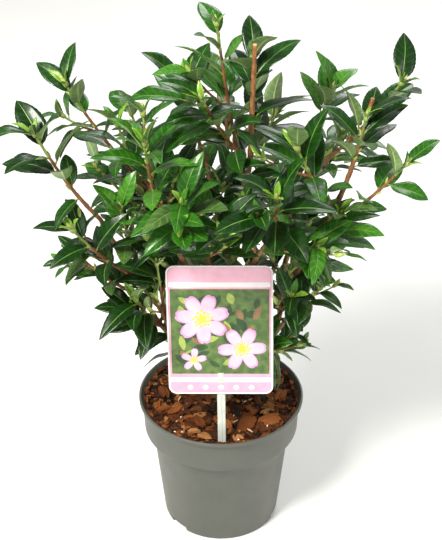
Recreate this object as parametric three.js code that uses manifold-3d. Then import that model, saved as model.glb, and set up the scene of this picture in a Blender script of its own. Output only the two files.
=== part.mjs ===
// Camellia shrub in a nursery pot, in millimetres, +Z up.
// The origin is at the centre of the pot's flat underside. +X is the shrub's right and -Y its front.
// A short trunk stands in bark mulch and forks into boughs. Each bough carries masses of foliage: a stem
// with side shoots, and leaves set round them in a spiral by one seeded rule.
import * as THREE from 'three';
import { mergeVertices } from 'three/addons/utils/BufferGeometryUtils.js';
import Module from 'manifold-3d';

const wasm = await Module();
wasm.setup();
const { Manifold } = wasm;

// ---------------------------------------------------------------- driving dimensions
const CLEAR = 0.35; // gap between neighbouring pieces
const LIMB_ROOM = 0.8; // how far leaves keep from a limb
const SHOOT_ROOM = 0.7; // and from a shoot
const GROUND = 138; // top of the mulch, where the trunk is cut flat

// The pot widens from its base to a step, where a collar stands out, and has a lip at its rim.
const POT = {
  height: 150, rimRadius: 85, lipHeight: 4, edge: 1, wall: 2.2, floor: 3, segments: 32,
  collarHeight: 37, collarTopRadius: 81.5, collarFootRadius: 80, stepRadius: 72, stepDrop: 4,
  baseRadius: 60.5, baseBevel: 2,
  notches: 3, notchAngle: -2.4, notchWidth: 20, notchHeight: 4.5, notchDepth: 9,
  holes: 4, holeRadius: 5, holeSides: 8, holeCircle: 36,
};
const MULCH = {
  rings: 4, spokes: 20, lump: 1.5, heap: 5, levelRadius: 14, slopeWidth: 20, looseness: 0.25,
  chips: 20, chipLength: 20, chipThick: 5, chipUp: 0.6, chipRadius: 24, chipMargin: 12, seed: 11,
  lengthShare: [0.6, 1.3], widthShare: [0.45, 0.8], pitch: [-0.35, 0.35], roll: [-0.3, 0.3],
};
// The label leans back; its card hangs on a tab of the stick's head through a slot.
const LABEL = {
  foot: [1, -70, GROUND], lean: 0.17, turn: -0.03, roll: -0.02,
  stickWidth: 8, stickThick: 2.2, stickBuried: 18, cardFoot: 58,
  cardWidth: 102, cardHeight: 136, cardThick: 0.9, cornerRadius: 8,
  headWidth: 34, headHeight: 60, headMargin: 2, tabWidth: 6, tabHeight: 11, tabUp: 12, tabOut: 0.6,
  margin: 4, outlook: 90, outlookRise: 0.45, cutDepth: 12, socketAbove: 24, cornerSteps: 5,
};

// The trunk leans a little and tapers from its root flare to its fork.
const TRUNK = {
  foot: [2, 6, GROUND + CLEAR], tip: [5, 11, 262], bend: [2, -3, -40], rise: 40,
  flareRadius: 10, radius: 6.2, tipRadius: 3.4, flareFade: 22, sides: 9, steps: 9,
};

// Each bough: its parent, how far along the parent it leaves, its tip, its radii at foot and tip, and for
// some how steeply it sets out and how much it lifts at its tip.
const BOUGHS = {
  bough_top: ['trunk', 1, [28, -20, 448], [3.4, 2.2]],
  bough_centre: ['bough_top', 0.22, [-14, 26, 405], [2.8, 1.9]],
  bough_front: ['trunk', 0.86, [-32, -58, 382], [3.2, 2.4], 1.3, -0.2],
  bough_front_right: ['trunk', 0.7, [50, -58, 380], [3.2, 2.0], 1.2, -0.2],
  bough_upper_left: ['trunk', 0.6, [-67, 8, 387], [3.5, 2.0]],
  bough_centre_left: ['bough_upper_left', 0.2, [-56, -58, 398], [2.7, 1.9], 0.9],
  bough_far_left: ['trunk', 0.3, [-110, -50, 387], [3.7, 2.1]],
  bough_low_left: ['trunk', 0.14, [-76, -26, 286], [3.2, 2.0]],
  bough_right: ['trunk', 0.42, [114, -28, 410], [3.9, 2.3]],
  bough_right_back: ['bough_right', 0.36, [90, 55, 425], [2.9, 1.9]],
  bough_low_right: ['trunk', 0.2, [68, -18, 262], [3.0, 1.9]],
  bough_back: ['trunk', 0.8, [6, 92, 400], [3.1, 1.9]],
  bough_back_left: ['trunk', 0.48, [-62, 84, 370], [3.4, 2.0]],
  bough_back_right: ['trunk', 0.34, [84, 90, 335], [3.3, 2.0]],
  bough_low_back: ['trunk', 0.12, [-28, 82, 258], [2.8, 1.8]],
};

// Each mass: its bough, how far along it the mass leaves, the tip of its stem, how many side shoots, how
// many leaves on its stem, and the length of its largest leaf.
const MASSES = {
  foliage_far_left: ['bough_far_left', 1, [-162, -60, 478], 0, 9, 50],
  foliage_upper_left: ['bough_upper_left', 1, [-141, 10, 494], 1, 8, 48],
  foliage_left_high: ['bough_upper_left', 0.7, [-94, -8, 462], 0, 8, 46],
  foliage_top: ['bough_top', 1, [28, -14, 530], 0, 9, 56],
  foliage_top_back: ['bough_top', 0.72, [-4, 0, 556], 1, 10, 46],
  foliage_top_side: ['bough_top', 0.88, [-16, -50, 506], 0, 10, 52],
  foliage_centre: ['bough_centre', 1, [-34, 20, 494], 0, 9, 52],
  foliage_right: ['bough_right', 1, [130, -20, 474], 0, 9, 50],
  foliage_right_thin: ['bough_right_back', 0.72, [166, 28, 486], 0, 5, 56],
  foliage_right_tip: ['bough_right', 0.76, [166, -40, 438], 0, 6, 46],
  foliage_right_inner: ['bough_right', 0.88, [68, -44, 456], 1, 9, 54],
  foliage_right_back: ['bough_right_back', 1, [104, 60, 462], 0, 8, 50],
  foliage_right_mid: ['bough_right', 0.6, [108, -50, 392], 0, 8, 50],
  foliage_right_heart: ['bough_right', 0.5, [66, -14, 390], 1, 8, 52],
  foliage_centre_left: ['bough_centre_left', 1, [-66, -78, 478], 1, 9, 50],
  foliage_left_heart: ['bough_centre_left', 0.62, [-62, -24, 420], 1, 8, 52],
  foliage_left_side: ['bough_far_left', 0.66, [-132, -78, 392], 0, 8, 44],
  foliage_low_left: ['bough_low_left', 1, [-130, -48, 344], 0, 6, 36],
  foliage_left_low_heart: ['bough_far_left', 0.42, [-60, -48, 338], 1, 8, 50],
  foliage_left_inner: ['bough_far_left', 0.56, [-92, -36, 390], 1, 8, 50],
  foliage_left_low: ['bough_low_left', 0.45, [-62, -40, 296], 0, 6, 46],
  foliage_left_skirt: ['bough_low_left', 0.7, [-80, -58, 304], 0, 8, 48],
  foliage_front: ['bough_front', 1, [-34, -98, 432], 1, 9, 52],
  foliage_front_low: ['bough_front', 0.8, [0, -104, 402], 0, 9, 52],
  foliage_front_heart: ['bough_front', 0.6, [4, -62, 366], 0, 7, 44],
  foliage_front_inner: ['bough_front_right', 0.64, [32, -42, 376], 0, 7, 46],
  foliage_front_right: ['bough_front_right', 1, [48, -96, 434], 1, 9, 58],
  foliage_front_side: ['bough_front_right', 0.76, [84, -80, 376], 0, 9, 50],
  foliage_low_right: ['bough_low_right', 1, [94, -44, 308], 0, 6, 38],
  foliage_right_low_heart: ['bough_low_right', 0.7, [66, -30, 318], 1, 8, 48],
  foliage_right_skirt: ['bough_low_right', 0.5, [60, 4, 200], 0, 5, 44],
  foliage_back_left: ['bough_back_left', 1, [-90, 112, 414], 0, 9, 52],
  foliage_back_left_side: ['bough_back_left', 0.62, [-120, 62, 378], 0, 9, 50],
  foliage_back: ['bough_back', 1, [4, 126, 440], 0, 9, 54],
  foliage_back_side: ['bough_back', 0.7, [56, 122, 410], 1, 8, 52],
  foliage_back_heart: ['bough_back', 0.46, [-18, 66, 372], 1, 9, 52],
  foliage_back_right: ['bough_back_right', 1, [122, 108, 392], 1, 9, 52],
  foliage_back_skirt: ['bough_back_right', 0.62, [60, 126, 318], 1, 10, 50],
  foliage_low_back: ['bough_low_back', 1, [-62, 116, 306], 1, 10, 50],
  foliage_right_back_skirt: ['bough_back_right', 0.4, [104, 56, 286], 1, 9, 50],
};

// The first mass's seed, which sets how its shoots and leaves turn. Each further mass has the next number.
const FIRST_SEED = 19;

// How limbs and shoots bend: how far their handles reach, as shares of the length, and their rise.
const BEND = {
  out: 0.36, back: 0.3, flatten: 0.6, steep: 0.1, boughLift: 0.45, stemLift: 0.25, sideLift: 0.3,
};
const BOUGH = { sides: 6, steps: 5 };

const SHOOT = {
  stemRadii: [1.9, 1.1], sideRadii: [1.4, 0.9], stemSteps: 4, sideSteps: 2, sides: 3,
  firstAt: 0.3, lastAt: 0.72, sideLength: 50, sideLeaves: 4, sideLeafSize: 0.86, spread: 0.85, rise: 0.35,
  roomSides: 5, roomSteps: 5, stemRoomFrom: 0.06, sideRoomFrom: 0.12,
};

// Angles are in radians; pitch is the angle between a leaf and its shoot.
const LEAF = {
  turn: 2.44, bareShare: 0.16, crowding: 0.92, lastAt: 0.987, pitch: 1.0, pitchAtTip: 0.5,
  aspect: 0.46, arch: 0.16, fold: 0.34, thick: 1.5, ridgeAt: 0.15, tries: 5, tryTurn: 0.55,
  faceUp: 0.75, faceOut: 0.55, room: 0.9, roomFrom: 0.2, roomTo: 1.03, roomWide: 1.08,
  footSize: 0.8, midSize: 0.2, sizePeak: 0.9,
};
// How much shoots and leaves differ from each other: factors where they end in Share, otherwise added.
const VARY = {
  shootAt: [-0.05, 0.05], shootShare: [0.75, 1.15], turn: [-0.3, 0.3], pitch: [-0.22, 0.22],
  rise: [-0.16, 0.2], roll: [-0.45, 0.45], lengthShare: [0.86, 1.06], widthShare: [0.88, 1.12],
  archShare: [0.2, 1.7], foldShare: [0.3, 1.3],
};
// Shares of a leaf's length and half width where its outline turns, between its root and its tip.
const LEAF_OUTLINE = [[0.28, 0.82], [0.66, 0.86]];
const BUD = { length: 12, radius: 2.3, widestAt: 0.38, sunk: 3, room: 1 };
const GOLDEN_ANGLE = 2.39996;

const COLOURS = {
  pot: 0x7d7f77, mulch: 0x5a3a22, stick: 0xe4e8dc, card: 0xf3c9da, bark: 0x7a5138, leaf: 0x24521c,
};

// ---------------------------------------------------------------- chance, vectors and curves
// A number from 0 to 1 that depends only on its whole-number keys.
function chance(...keys) {
  let h = 2166136261;
  for (const key of keys) {
    h = Math.imul(h ^ key, 16777619);
    h ^= h >>> 13;
  }
  h = Math.imul(h ^ (h >>> 15), 2246822519);
  h ^= h >>> 13;
  return (h >>> 0) / 4294967296;
}

const spread = ([low, high], ...keys) => low + (high - low) * chance(...keys);
const FULL_TURN = [0, 2 * Math.PI];
const vector = (v) => new THREE.Vector3(...v);
const UP = new THREE.Vector3(0, 0, 1);

// A growing limb's line from foot to tip. It sets out more steeply the larger `steep` is, and turns up
// towards the light at its tip by `lift`.
function growthCurve(foot, tip, steep, lift) {
  const way = tip.clone().sub(foot);
  const length = way.length();
  const outset = way.clone().normalize();
  outset.z = outset.z * BEND.flatten + steep;
  const arrival = way.clone().normalize().addScaledVector(UP, lift);
  return new THREE.CubicBezierCurve3(
    foot,
    foot.clone().addScaledVector(outset.normalize(), length * BEND.out),
    tip.clone().addScaledVector(arrival.normalize(), -length * BEND.back),
    tip,
  );
}

// Two directions across a line, the first of them level.
function acrossFrame(tangent) {
  const level = new THREE.Vector3().crossVectors(tangent, UP);
  if (level.length() < 1e-3) level.set(1, 0, 0);
  level.normalize();
  const rising = new THREE.Vector3().crossVectors(level, tangent).normalize();
  return [level, rising];
}

// ---------------------------------------------------------------- solids
function solidOf(geometry) {
  const plain = geometry.index ? geometry.toNonIndexed() : geometry.clone();
  for (const name of Object.keys(plain.attributes)) if (name !== 'position') plain.deleteAttribute(name);
  const merged = mergeVertices(plain, 1e-4);
  return new Manifold(new wasm.Mesh({
    numProp: 3,
    vertProperties: new Float32Array(merged.attributes.position.array),
    triVerts: new Uint32Array(merged.index.array),
  }));
}

function geometryOf(solid) {
  const mesh = solid.getMesh();
  const geometry = new THREE.BufferGeometry();
  geometry.setAttribute('position', new THREE.BufferAttribute(new Float32Array(mesh.vertProperties), 3));
  geometry.setIndex(new THREE.BufferAttribute(new Uint32Array(mesh.triVerts), 1));
  geometry.computeVertexNormals();
  return geometry;
}

// A closed mesh from corners and the triangles between them, turned right side out.
function facetedSolid(corners, triangles) {
  const geometry = new THREE.BufferGeometry().setFromPoints(corners);
  geometry.setIndex(triangles.flat());
  const solid = solidOf(geometry);
  if (solid.volume() > 0) return solid;
  geometry.setIndex(triangles.flatMap(([a, b, c]) => [a, c, b]));
  return solidOf(geometry);
}

// A tapering limb round its curve, thicker and longer by `grow`, that starts at a share of its length.
function limbSolid({ curve, radiusAt, sides, steps }, grow = 0, from = 0) {
  const corners = [];
  const triangles = [];
  for (let i = 0; i <= steps; i += 1) {
    const t = from + ((1 - from) * i) / steps;
    const centre = curve.getPoint(t);
    const tangent = curve.getTangent(t);
    if (i === 0) centre.addScaledVector(tangent, -grow);
    if (i === steps) centre.addScaledVector(tangent, grow);
    const [level, rising] = acrossFrame(tangent);
    const radius = radiusAt(t) + grow;
    for (let k = 0; k < sides; k += 1) {
      const angle = (2 * Math.PI * k) / sides;
      corners.push(centre.clone()
        .addScaledVector(level, radius * Math.cos(angle))
        .addScaledVector(rising, radius * Math.sin(angle)));
    }
  }
  for (let i = 0; i < steps; i += 1) {
    for (let k = 0; k < sides; k += 1) {
      const a = i * sides + k;
      const b = i * sides + ((k + 1) % sides);
      triangles.push([a, a + sides, b], [b, a + sides, b + sides]);
    }
  }
  const last = steps * sides;
  for (let k = 1; k < sides - 1; k += 1) {
    triangles.push([0, k, k + 1], [last, last + k + 1, last + k]);
  }
  return facetedSolid(corners, triangles);
}

// ---------------------------------------------------------------- leaves and buds
// A point of a leaf's surface: along its length, across it from -1 to 1, and off it.
function leafPoint(leaf, along, across, off = 0) {
  const { root, way, side, face, length, width, arch, fold } = leaf;
  const half = (width / 2) * Math.abs(across);
  return root.clone()
    .addScaledVector(way, length * along)
    .addScaledVector(side, (width / 2) * across)
    .addScaledVector(face, -arch * length * along * along + fold * half + off);
}

// A folded six-cornered leaf, thickest near its root.
function leafSolid(leaf, from = 0, to = 1, wide = 1, thick = LEAF.thick / 2) {
  const rim = [
    leafPoint(leaf, from, 0),
    ...LEAF_OUTLINE.map(([along, across]) => leafPoint(leaf, along, across * wide)),
    leafPoint(leaf, to, 0),
    ...LEAF_OUTLINE.map(([along, across]) => leafPoint(leaf, along, -across * wide)).reverse(),
  ];
  const ridge = [thick, -thick].map((off) => leafPoint(leaf, LEAF.ridgeAt, 0, off));
  const corners = [...rim, ...ridge];
  const triangles = rim.flatMap((_, k) => {
    const next = (k + 1) % rim.length;
    return [[k, next, rim.length], [next, k, rim.length + 1]];
  });
  return facetedSolid(corners, triangles);
}

// The space a leaf needs, past the root that it shares with its shoot.
function leafRoom(leaf) {
  return leafSolid(leaf, LEAF.roomFrom, LEAF.roomTo, LEAF.roomWide, LEAF.thick / 2 + LEAF.room);
}

// A pointed bud with four sides, its foot sunk in the tip of its shoot.
function budSolid(bud, grow = 0) {
  const [level, rising] = acrossFrame(bud.way);
  const ring = [0, 1, 2, 3].map((k) => bud.root.clone()
    .addScaledVector(bud.way, BUD.length * BUD.widestAt)
    .addScaledVector(level, (BUD.radius + grow) * Math.cos((k * Math.PI) / 2))
    .addScaledVector(rising, (BUD.radius + grow) * Math.sin((k * Math.PI) / 2)));
  const corners = [bud.root, ...ring, bud.root.clone().addScaledVector(bud.way, BUD.length)];
  const triangles = [0, 1, 2, 3].flatMap((k) => {
    const a = k + 1;
    const b = ((k + 1) % 4) + 1;
    return [[0, a, b], [5, b, a]];
  });
  return facetedSolid(corners, triangles);
}

// ---------------------------------------------------------------- growth
const limbs = new Map(); // name -> { curve, radiusAt, sides, steps, parent }
const obstacles = []; // { solid, low, high }: what leaves and side shoots keep clear of

function addObstacle(solid) {
  const box = solid.boundingBox();
  obstacles.push({ solid, low: box.min, high: box.max });
}

function touches(solid) {
  const { min, max } = solid.boundingBox();
  return obstacles.some((o) => [0, 1, 2].every((k) => o.low[k] < max[k] && o.high[k] > min[k])
    && !o.solid.intersect(solid).isEmpty());
}

function taper([first, last]) {
  return (t) => first + (last - first) * t;
}

function growTrunk() {
  const foot = vector(TRUNK.foot);
  const tip = vector(TRUNK.tip);
  const rise = foot.clone().addScaledVector(UP, TRUNK.rise);
  const curve = new THREE.CubicBezierCurve3(foot, rise, tip.clone().add(vector(TRUNK.bend)), tip);
  const flare = TRUNK.flareRadius - TRUNK.radius;
  const stem = taper([TRUNK.radius, TRUNK.tipRadius]);
  const radiusAt = (t) => stem(t) + flare * Math.exp(-t * TRUNK.flareFade);
  limbs.set('trunk', { curve, radiusAt, sides: TRUNK.sides, steps: TRUNK.steps });
}

function growBoughs() {
  for (const [name, bough] of Object.entries(BOUGHS)) {
    const [parent, share, tip, radii, steep = BEND.steep, lift = BEND.boughLift] = bough;
    const curve = growthCurve(limbs.get(parent).curve.getPoint(share), vector(tip), steep, lift);
    limbs.set(name, { curve, radiusAt: taper(radii), sides: BOUGH.sides, steps: BOUGH.steps, parent });
  }
}

// The shoots of one mass: its stem first, then side shoots that leave the stem in a spiral.
function growShoots([bough, share, tip, sideShoots, leaves], seed) {
  const foot = limbs.get(bough).curve.getPoint(share);
  const stem = {
    curve: growthCurve(foot, vector(tip), BEND.steep, BEND.stemLift),
    radiusAt: taper(SHOOT.stemRadii), sides: SHOOT.sides, steps: SHOOT.stemSteps, leaves, index: 0,
  };
  const shoots = [stem];
  for (let i = 0; i < sideShoots; i += 1) {
    const even = SHOOT.firstAt + ((SHOOT.lastAt - SHOOT.firstAt) * (i + 0.5)) / sideShoots;
    const at = even + spread(VARY.shootAt, seed, i, 1);
    const start = stem.curve.getPoint(at);
    const tangent = stem.curve.getTangent(at);
    const [level, rising] = acrossFrame(tangent);
    const angle = GOLDEN_ANGLE * i + spread(FULL_TURN, seed, 2);
    const way = tangent.clone().multiplyScalar(Math.cos(SHOOT.spread))
      .addScaledVector(level, Math.cos(angle) * Math.sin(SHOOT.spread))
      .addScaledVector(rising, Math.sin(angle) * Math.sin(SHOOT.spread))
      .addScaledVector(UP, SHOOT.rise)
      .normalize();
    const length = SHOOT.sideLength * spread(VARY.shootShare, seed, i, 3);
    const end = start.clone().addScaledVector(way, length);
    shoots.push({
      curve: growthCurve(start, end, BEND.steep, BEND.sideLift),
      radiusAt: taper(SHOOT.sideRadii), sides: SHOOT.sides, steps: SHOOT.sideSteps,
      leaves: SHOOT.sideLeaves, index: i + 1,
    });
  }
  return shoots;
}

// Leaf number i of a shoot. On each further try it is turned another way round the shoot.
function placeLeaf(largest, seed, shoot, i, tried) {
  const { curve, leaves, index } = shoot;
  const vary = (range, what) => spread(range, seed, index, i, what);
  const share = (i + 1) / leaves;
  const at = LEAF.bareShare + (LEAF.lastAt - LEAF.bareShare) * share ** LEAF.crowding;
  const tangent = curve.getTangent(at);
  const [level, rising] = acrossFrame(tangent);
  const turn = LEAF.turn * i + spread(FULL_TURN, seed, index, 5) + vary(VARY.turn, 6)
    + LEAF.tryTurn * tried * (tried % 2 ? 1 : -1);
  const pitch = LEAF.pitch + (LEAF.pitchAtTip - LEAF.pitch) * share + vary(VARY.pitch, 7);
  const way = tangent.clone().multiplyScalar(Math.cos(pitch))
    .addScaledVector(level, Math.cos(turn) * Math.sin(pitch))
    .addScaledVector(rising, Math.sin(turn) * Math.sin(pitch))
    .addScaledVector(UP, vary(VARY.rise, 8))
    .normalize();
  const face = UP.clone().multiplyScalar(LEAF.faceUp)
    .addScaledVector(tangent, LEAF.faceOut)
    .addScaledVector(level, vary(VARY.roll, 9));
  face.addScaledVector(way, -face.dot(way)).normalize();
  const side = new THREE.Vector3().crossVectors(face, way).normalize();
  const along = LEAF.footSize + LEAF.midSize * Math.sin(LEAF.sizePeak * Math.PI * share);
  const size = along * (index ? SHOOT.sideLeafSize : 1);
  const length = largest * size * vary(VARY.lengthShare, 10);
  return {
    root: curve.getPoint(at), way, side, face, length,
    width: length * LEAF.aspect * vary(VARY.widthShare, 11),
    arch: LEAF.arch * vary(VARY.archShare, 12),
    fold: LEAF.fold * vary(VARY.foldShare, 13),
  };
}

function placeBud({ curve }) {
  const way = curve.getTangent(1);
  return { way, root: curve.getPoint(1).addScaledVector(way, -BUD.sunk) };
}

// ---------------------------------------------------------------- the pot, its mulch and its label
const STEP_Z = POT.height - POT.collarHeight;

function latheSolid(profile) {
  const turned = (points) => solidOf(new THREE.LatheGeometry(points, POT.segments).rotateX(Math.PI / 2));
  const points = profile.map(([r, z]) => new THREE.Vector2(r, z));
  const solid = turned(points);
  return solid.volume() > 0 ? solid : turned(points.reverse());
}

// Outer radius of the pot at a height, without its lip.
function outerRadius(z) {
  const [low, high, from, to] = z > STEP_Z
    ? [POT.collarFootRadius, POT.collarTopRadius, STEP_Z, POT.height]
    : [POT.baseRadius, POT.stepRadius, 0, STEP_Z];
  return low + ((high - low) * (z - from)) / (to - from);
}

function innerRadius(z) {
  return outerRadius(z) - POT.wall;
}

function potProfile() {
  const { height, edge, baseRadius, baseBevel, stepRadius, stepDrop, rimRadius, floor } = POT;
  const lipZ = height - POT.lipHeight;
  const shoulder = (stepRadius + POT.collarFootRadius) / 2;
  return [
    [0, 0], [baseRadius - baseBevel, 0], [baseRadius, baseBevel],
    [stepRadius, STEP_Z - stepDrop], [shoulder, STEP_Z - edge], [POT.collarFootRadius, STEP_Z],
    [POT.collarTopRadius, lipZ], [rimRadius - edge / 2, lipZ], [rimRadius, lipZ + edge],
    [rimRadius, height - edge], [rimRadius - edge, height],
    [rimRadius - POT.wall, height], [innerRadius(lipZ), lipZ],
    [innerRadius(STEP_Z + edge), STEP_Z + edge], [innerRadius(STEP_Z - stepDrop), STEP_Z - stepDrop],
    [innerRadius(floor), floor], [0, floor],
  ];
}

function makePot() {
  let solid = latheSolid(potProfile());
  for (let i = 0; i < POT.notches; i += 1) {
    const notch = new THREE.BoxGeometry(POT.notchDepth, POT.notchWidth, 2 * POT.notchHeight)
      .translate(POT.baseRadius, 0, 0)
      .rotateZ(POT.notchAngle + (2 * Math.PI * i) / POT.notches);
    solid = solid.subtract(solidOf(notch));
  }
  for (let i = 0; i < POT.holes; i += 1) {
    const hole = new THREE.CylinderGeometry(POT.holeRadius, POT.holeRadius, 4 * POT.floor, POT.holeSides)
      .rotateX(Math.PI / 2)
      .translate(POT.holeCircle, 0, 0)
      .rotateZ((2 * Math.PI * (i + 0.5)) / POT.holes);
    solid = solid.subtract(solidOf(hole));
  }
  return solid;
}

// Height of the mulch at a place: lumpy, level round the trunk, and heaped up to the pot's wall.
function mulchHeight(x, y) {
  const waves = Math.sin(x * 0.13 + 1) * Math.cos(y * 0.11) + 0.6 * Math.sin(x * 0.29 - y * 0.23);
  const distance = Math.hypot(x - TRUNK.foot[0], y - TRUNK.foot[1]) - MULCH.levelRadius;
  const heap = MULCH.heap * (Math.hypot(x, y) / POT.collarFootRadius) ** 4;
  return GROUND + heap + MULCH.lump * waves * THREE.MathUtils.clamp(distance / MULCH.slopeWidth, 0, 1);
}

// A level ring of the mulch, or one that follows its lumps where no height is given.
function mulchRing(radius, height) {
  return Array.from({ length: MULCH.spokes }, (_, k) => {
    const angle = (2 * Math.PI * k) / MULCH.spokes;
    const x = radius * Math.cos(angle);
    const y = radius * Math.sin(angle);
    return new THREE.Vector3(x, y, height ?? mulchHeight(x, y));
  });
}

// The mulch fills the pot from its floor and stays clear of its wall.
function mulchBody() {
  const bottom = POT.floor + CLEAR;
  const loose = (z) => innerRadius(z) - CLEAR - MULCH.looseness;
  const levels = [bottom, STEP_Z - POT.stepDrop, STEP_Z + POT.stepDrop];
  const rings = levels.map((z) => mulchRing(loose(z), z));
  for (let i = MULCH.rings; i > 0; i -= 1) rings.push(mulchRing((loose(GROUND) * i) / MULCH.rings));
  const corners = [...rings.flat(), new THREE.Vector3(0, 0, bottom), new THREE.Vector3(0, 0, GROUND)];
  const [underside, top] = [corners.length - 2, corners.length - 1];
  const at = (row, k) => row * MULCH.spokes + (k % MULCH.spokes);
  const triangles = [];
  for (let k = 0; k < MULCH.spokes; k += 1) {
    const last = rings.length - 1;
    triangles.push([underside, at(0, k + 1), at(0, k)], [top, at(last, k), at(last, k + 1)]);
    for (let row = 0; row < last; row += 1) {
      triangles.push([at(row, k), at(row, k + 1), at(row + 1, k)]);
      triangles.push([at(row, k + 1), at(row + 1, k + 1), at(row + 1, k)]);
    }
  }
  return facetedSolid(corners, triangles);
}

function makeMulch() {
  const { chips, chipLength, chipThick, chipUp, chipRadius } = MULCH;
  const vary = (range, i, what) => spread(range, MULCH.seed, i, what);
  const outermost = innerRadius(GROUND) - MULCH.chipMargin;
  let solid = mulchBody();
  for (let i = 0; i < chips; i += 1) {
    const angle = i * GOLDEN_ANGLE;
    const radius = chipRadius + (outermost - chipRadius) * Math.sqrt((i + 0.5) / chips);
    const x = radius * Math.cos(angle);
    const y = radius * Math.sin(angle);
    const length = chipLength * vary(MULCH.lengthShare, i, 1);
    const chip = new THREE.BoxGeometry(length, length * vary(MULCH.widthShare, i, 2), chipThick)
      .rotateX(vary(MULCH.pitch, i, 3))
      .rotateY(vary(MULCH.roll, i, 4))
      .rotateZ(vary(FULL_TURN, i, 5))
      .translate(x, y, mulchHeight(x, y) + chipUp);
    solid = solid.add(solidOf(chip));
  }
  return solid;
}

// Sets a piece of the label in its place. Its own frame has the stick's foot at the origin.
function labelPlacement(geometry) {
  return geometry
    .rotateX(-LABEL.lean)
    .rotateY(LABEL.roll)
    .rotateZ(LABEL.turn)
    .translate(...LABEL.foot);
}

function plate(width, height, thick, radius, foot) {
  const shape = new THREE.Shape();
  const half = width / 2;
  shape.moveTo(-half + radius, foot);
  shape.lineTo(half - radius, foot);
  shape.absarc(half - radius, foot + radius, radius, -Math.PI / 2, 0, false);
  shape.lineTo(half, foot + height - radius);
  shape.absarc(half - radius, foot + height - radius, radius, 0, Math.PI / 2, false);
  shape.lineTo(-half + radius, foot + height);
  shape.absarc(-half + radius, foot + height - radius, radius, Math.PI / 2, Math.PI, false);
  shape.lineTo(-half, foot + radius);
  shape.absarc(-half + radius, foot + radius, radius, Math.PI, 1.5 * Math.PI, false);
  const options = { depth: thick, bevelEnabled: false, curveSegments: LABEL.cornerSteps };
  const geometry = new THREE.ExtrudeGeometry(shape, options);
  return geometry.rotateX(Math.PI / 2); // the plate's face is now towards -Y, and it stands along +Z
}

const TAB_Z = LABEL.cardFoot + LABEL.tabUp + LABEL.tabHeight / 2;

function makeLabelStick() {
  const { stickWidth, stickThick, stickBuried, cardFoot, headWidth, headHeight, headMargin } = LABEL;
  const stickTop = cardFoot + headHeight;
  const rod = new THREE.BoxGeometry(stickWidth, stickThick, stickBuried + stickTop)
    .translate(0, stickThick / 2, (stickTop - stickBuried) / 2);
  const head = new THREE.BoxGeometry(headWidth, stickThick, headHeight - 2 * headMargin)
    .translate(0, stickThick / 2, cardFoot + headHeight / 2 + headMargin);
  const reach = CLEAR + LABEL.cardThick + LABEL.tabOut;
  const tab = new THREE.BoxGeometry(LABEL.tabWidth, reach + stickThick, LABEL.tabHeight)
    .translate(0, (stickThick - reach) / 2, TAB_Z);
  return Manifold.union([rod, head, tab].map((piece) => solidOf(labelPlacement(piece))));
}

function makeLabelCard() {
  const { cardWidth, cardHeight, cardThick, cornerRadius, cardFoot, tabWidth, tabHeight, cutDepth } = LABEL;
  const card = plate(cardWidth, cardHeight, cardThick, cornerRadius, cardFoot).translate(0, -CLEAR, 0);
  const slot = new THREE.BoxGeometry(tabWidth + 2 * CLEAR, cutDepth, tabHeight + 2 * CLEAR)
    .translate(0, 0, TAB_Z);
  return solidOf(labelPlacement(card)).subtract(solidOf(labelPlacement(slot)));
}

// The space at the label's back and in front of it, where a leaf would touch it or hang over its face.
function labelRoom() {
  const { cardFoot, cardHeight, cardWidth, margin, outlook, outlookRise } = LABEL;
  const side = new THREE.Shape([
    new THREE.Vector2(margin, cardFoot - margin),
    new THREE.Vector2(margin, cardFoot + cardHeight + margin),
    new THREE.Vector2(-outlook, cardFoot + cardHeight + outlook * outlookRise),
    new THREE.Vector2(-outlook, cardFoot - margin),
  ]);
  const width = cardWidth + 2 * margin;
  const room = new THREE.ExtrudeGeometry(side, { depth: width, bevelEnabled: false })
    .rotateX(Math.PI / 2)
    .rotateZ(Math.PI / 2)
    .translate(-width / 2, 0, 0);
  return solidOf(labelPlacement(room));
}

// The space of the mulch and the pot's rim, from just above the ground up.
function potRoom() {
  const radius = POT.rimRadius + POT.edge;
  const height = POT.height - GROUND + 2 * POT.edge;
  return solidOf(new THREE.CylinderGeometry(radius, radius, height, POT.segments)
    .rotateX(Math.PI / 2)
    .translate(0, 0, GROUND + height / 2));
}

// Room round the stick's buried end, cut out of the mulch.
function stickSocket() {
  const { stickWidth, stickThick, stickBuried, socketAbove } = LABEL;
  const height = stickBuried + socketAbove;
  const socket = new THREE.BoxGeometry(stickWidth + 2 * CLEAR, stickThick + 2 * CLEAR, height)
    .translate(0, stickThick / 2, socketAbove - height / 2 - CLEAR);
  return solidOf(labelPlacement(socket));
}

// ---------------------------------------------------------------- assembly
const group = new THREE.Group();

function addNode(name, solid, colour, roughness) {
  const pieces = solid.decompose().sort((a, b) => b.volume() - a.volume());
  const mesh = new THREE.Mesh(
    geometryOf(pieces[0]),
    new THREE.MeshStandardMaterial({ color: colour, roughness, metalness: 0 }),
  );
  mesh.name = name;
  group.add(mesh);
}

function addPot() {
  addNode('pot', makePot(), COLOURS.pot, 0.6);
  addNode('potting_mix', makeMulch().subtract(stickSocket()), COLOURS.mulch, 0.95);
  addNode('label_stick', makeLabelStick(), COLOURS.stick, 0.4);
  addNode('label_card', makeLabelCard(), COLOURS.card, 0.35);
  addObstacle(labelRoom());
  addObstacle(potRoom());
}

// Trunk and boughs. The trunk is cut flat just above the mulch, and each bough clear of the limb it leaves.
function addLimbs() {
  const ground = solidOf(new THREE.CylinderGeometry(POT.stepRadius, POT.stepRadius, 2 * GROUND)
    .rotateX(Math.PI / 2)
    .translate(0, 0, CLEAR));
  for (const [name, limb] of limbs) {
    const neighbour = limb.parent ? limbSolid(limbs.get(limb.parent), CLEAR) : ground;
    addNode(name, limbSolid(limb).subtract(neighbour), COLOURS.bark, 0.9);
    addObstacle(limbSolid(limb, LIMB_ROOM));
  }
}

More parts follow.
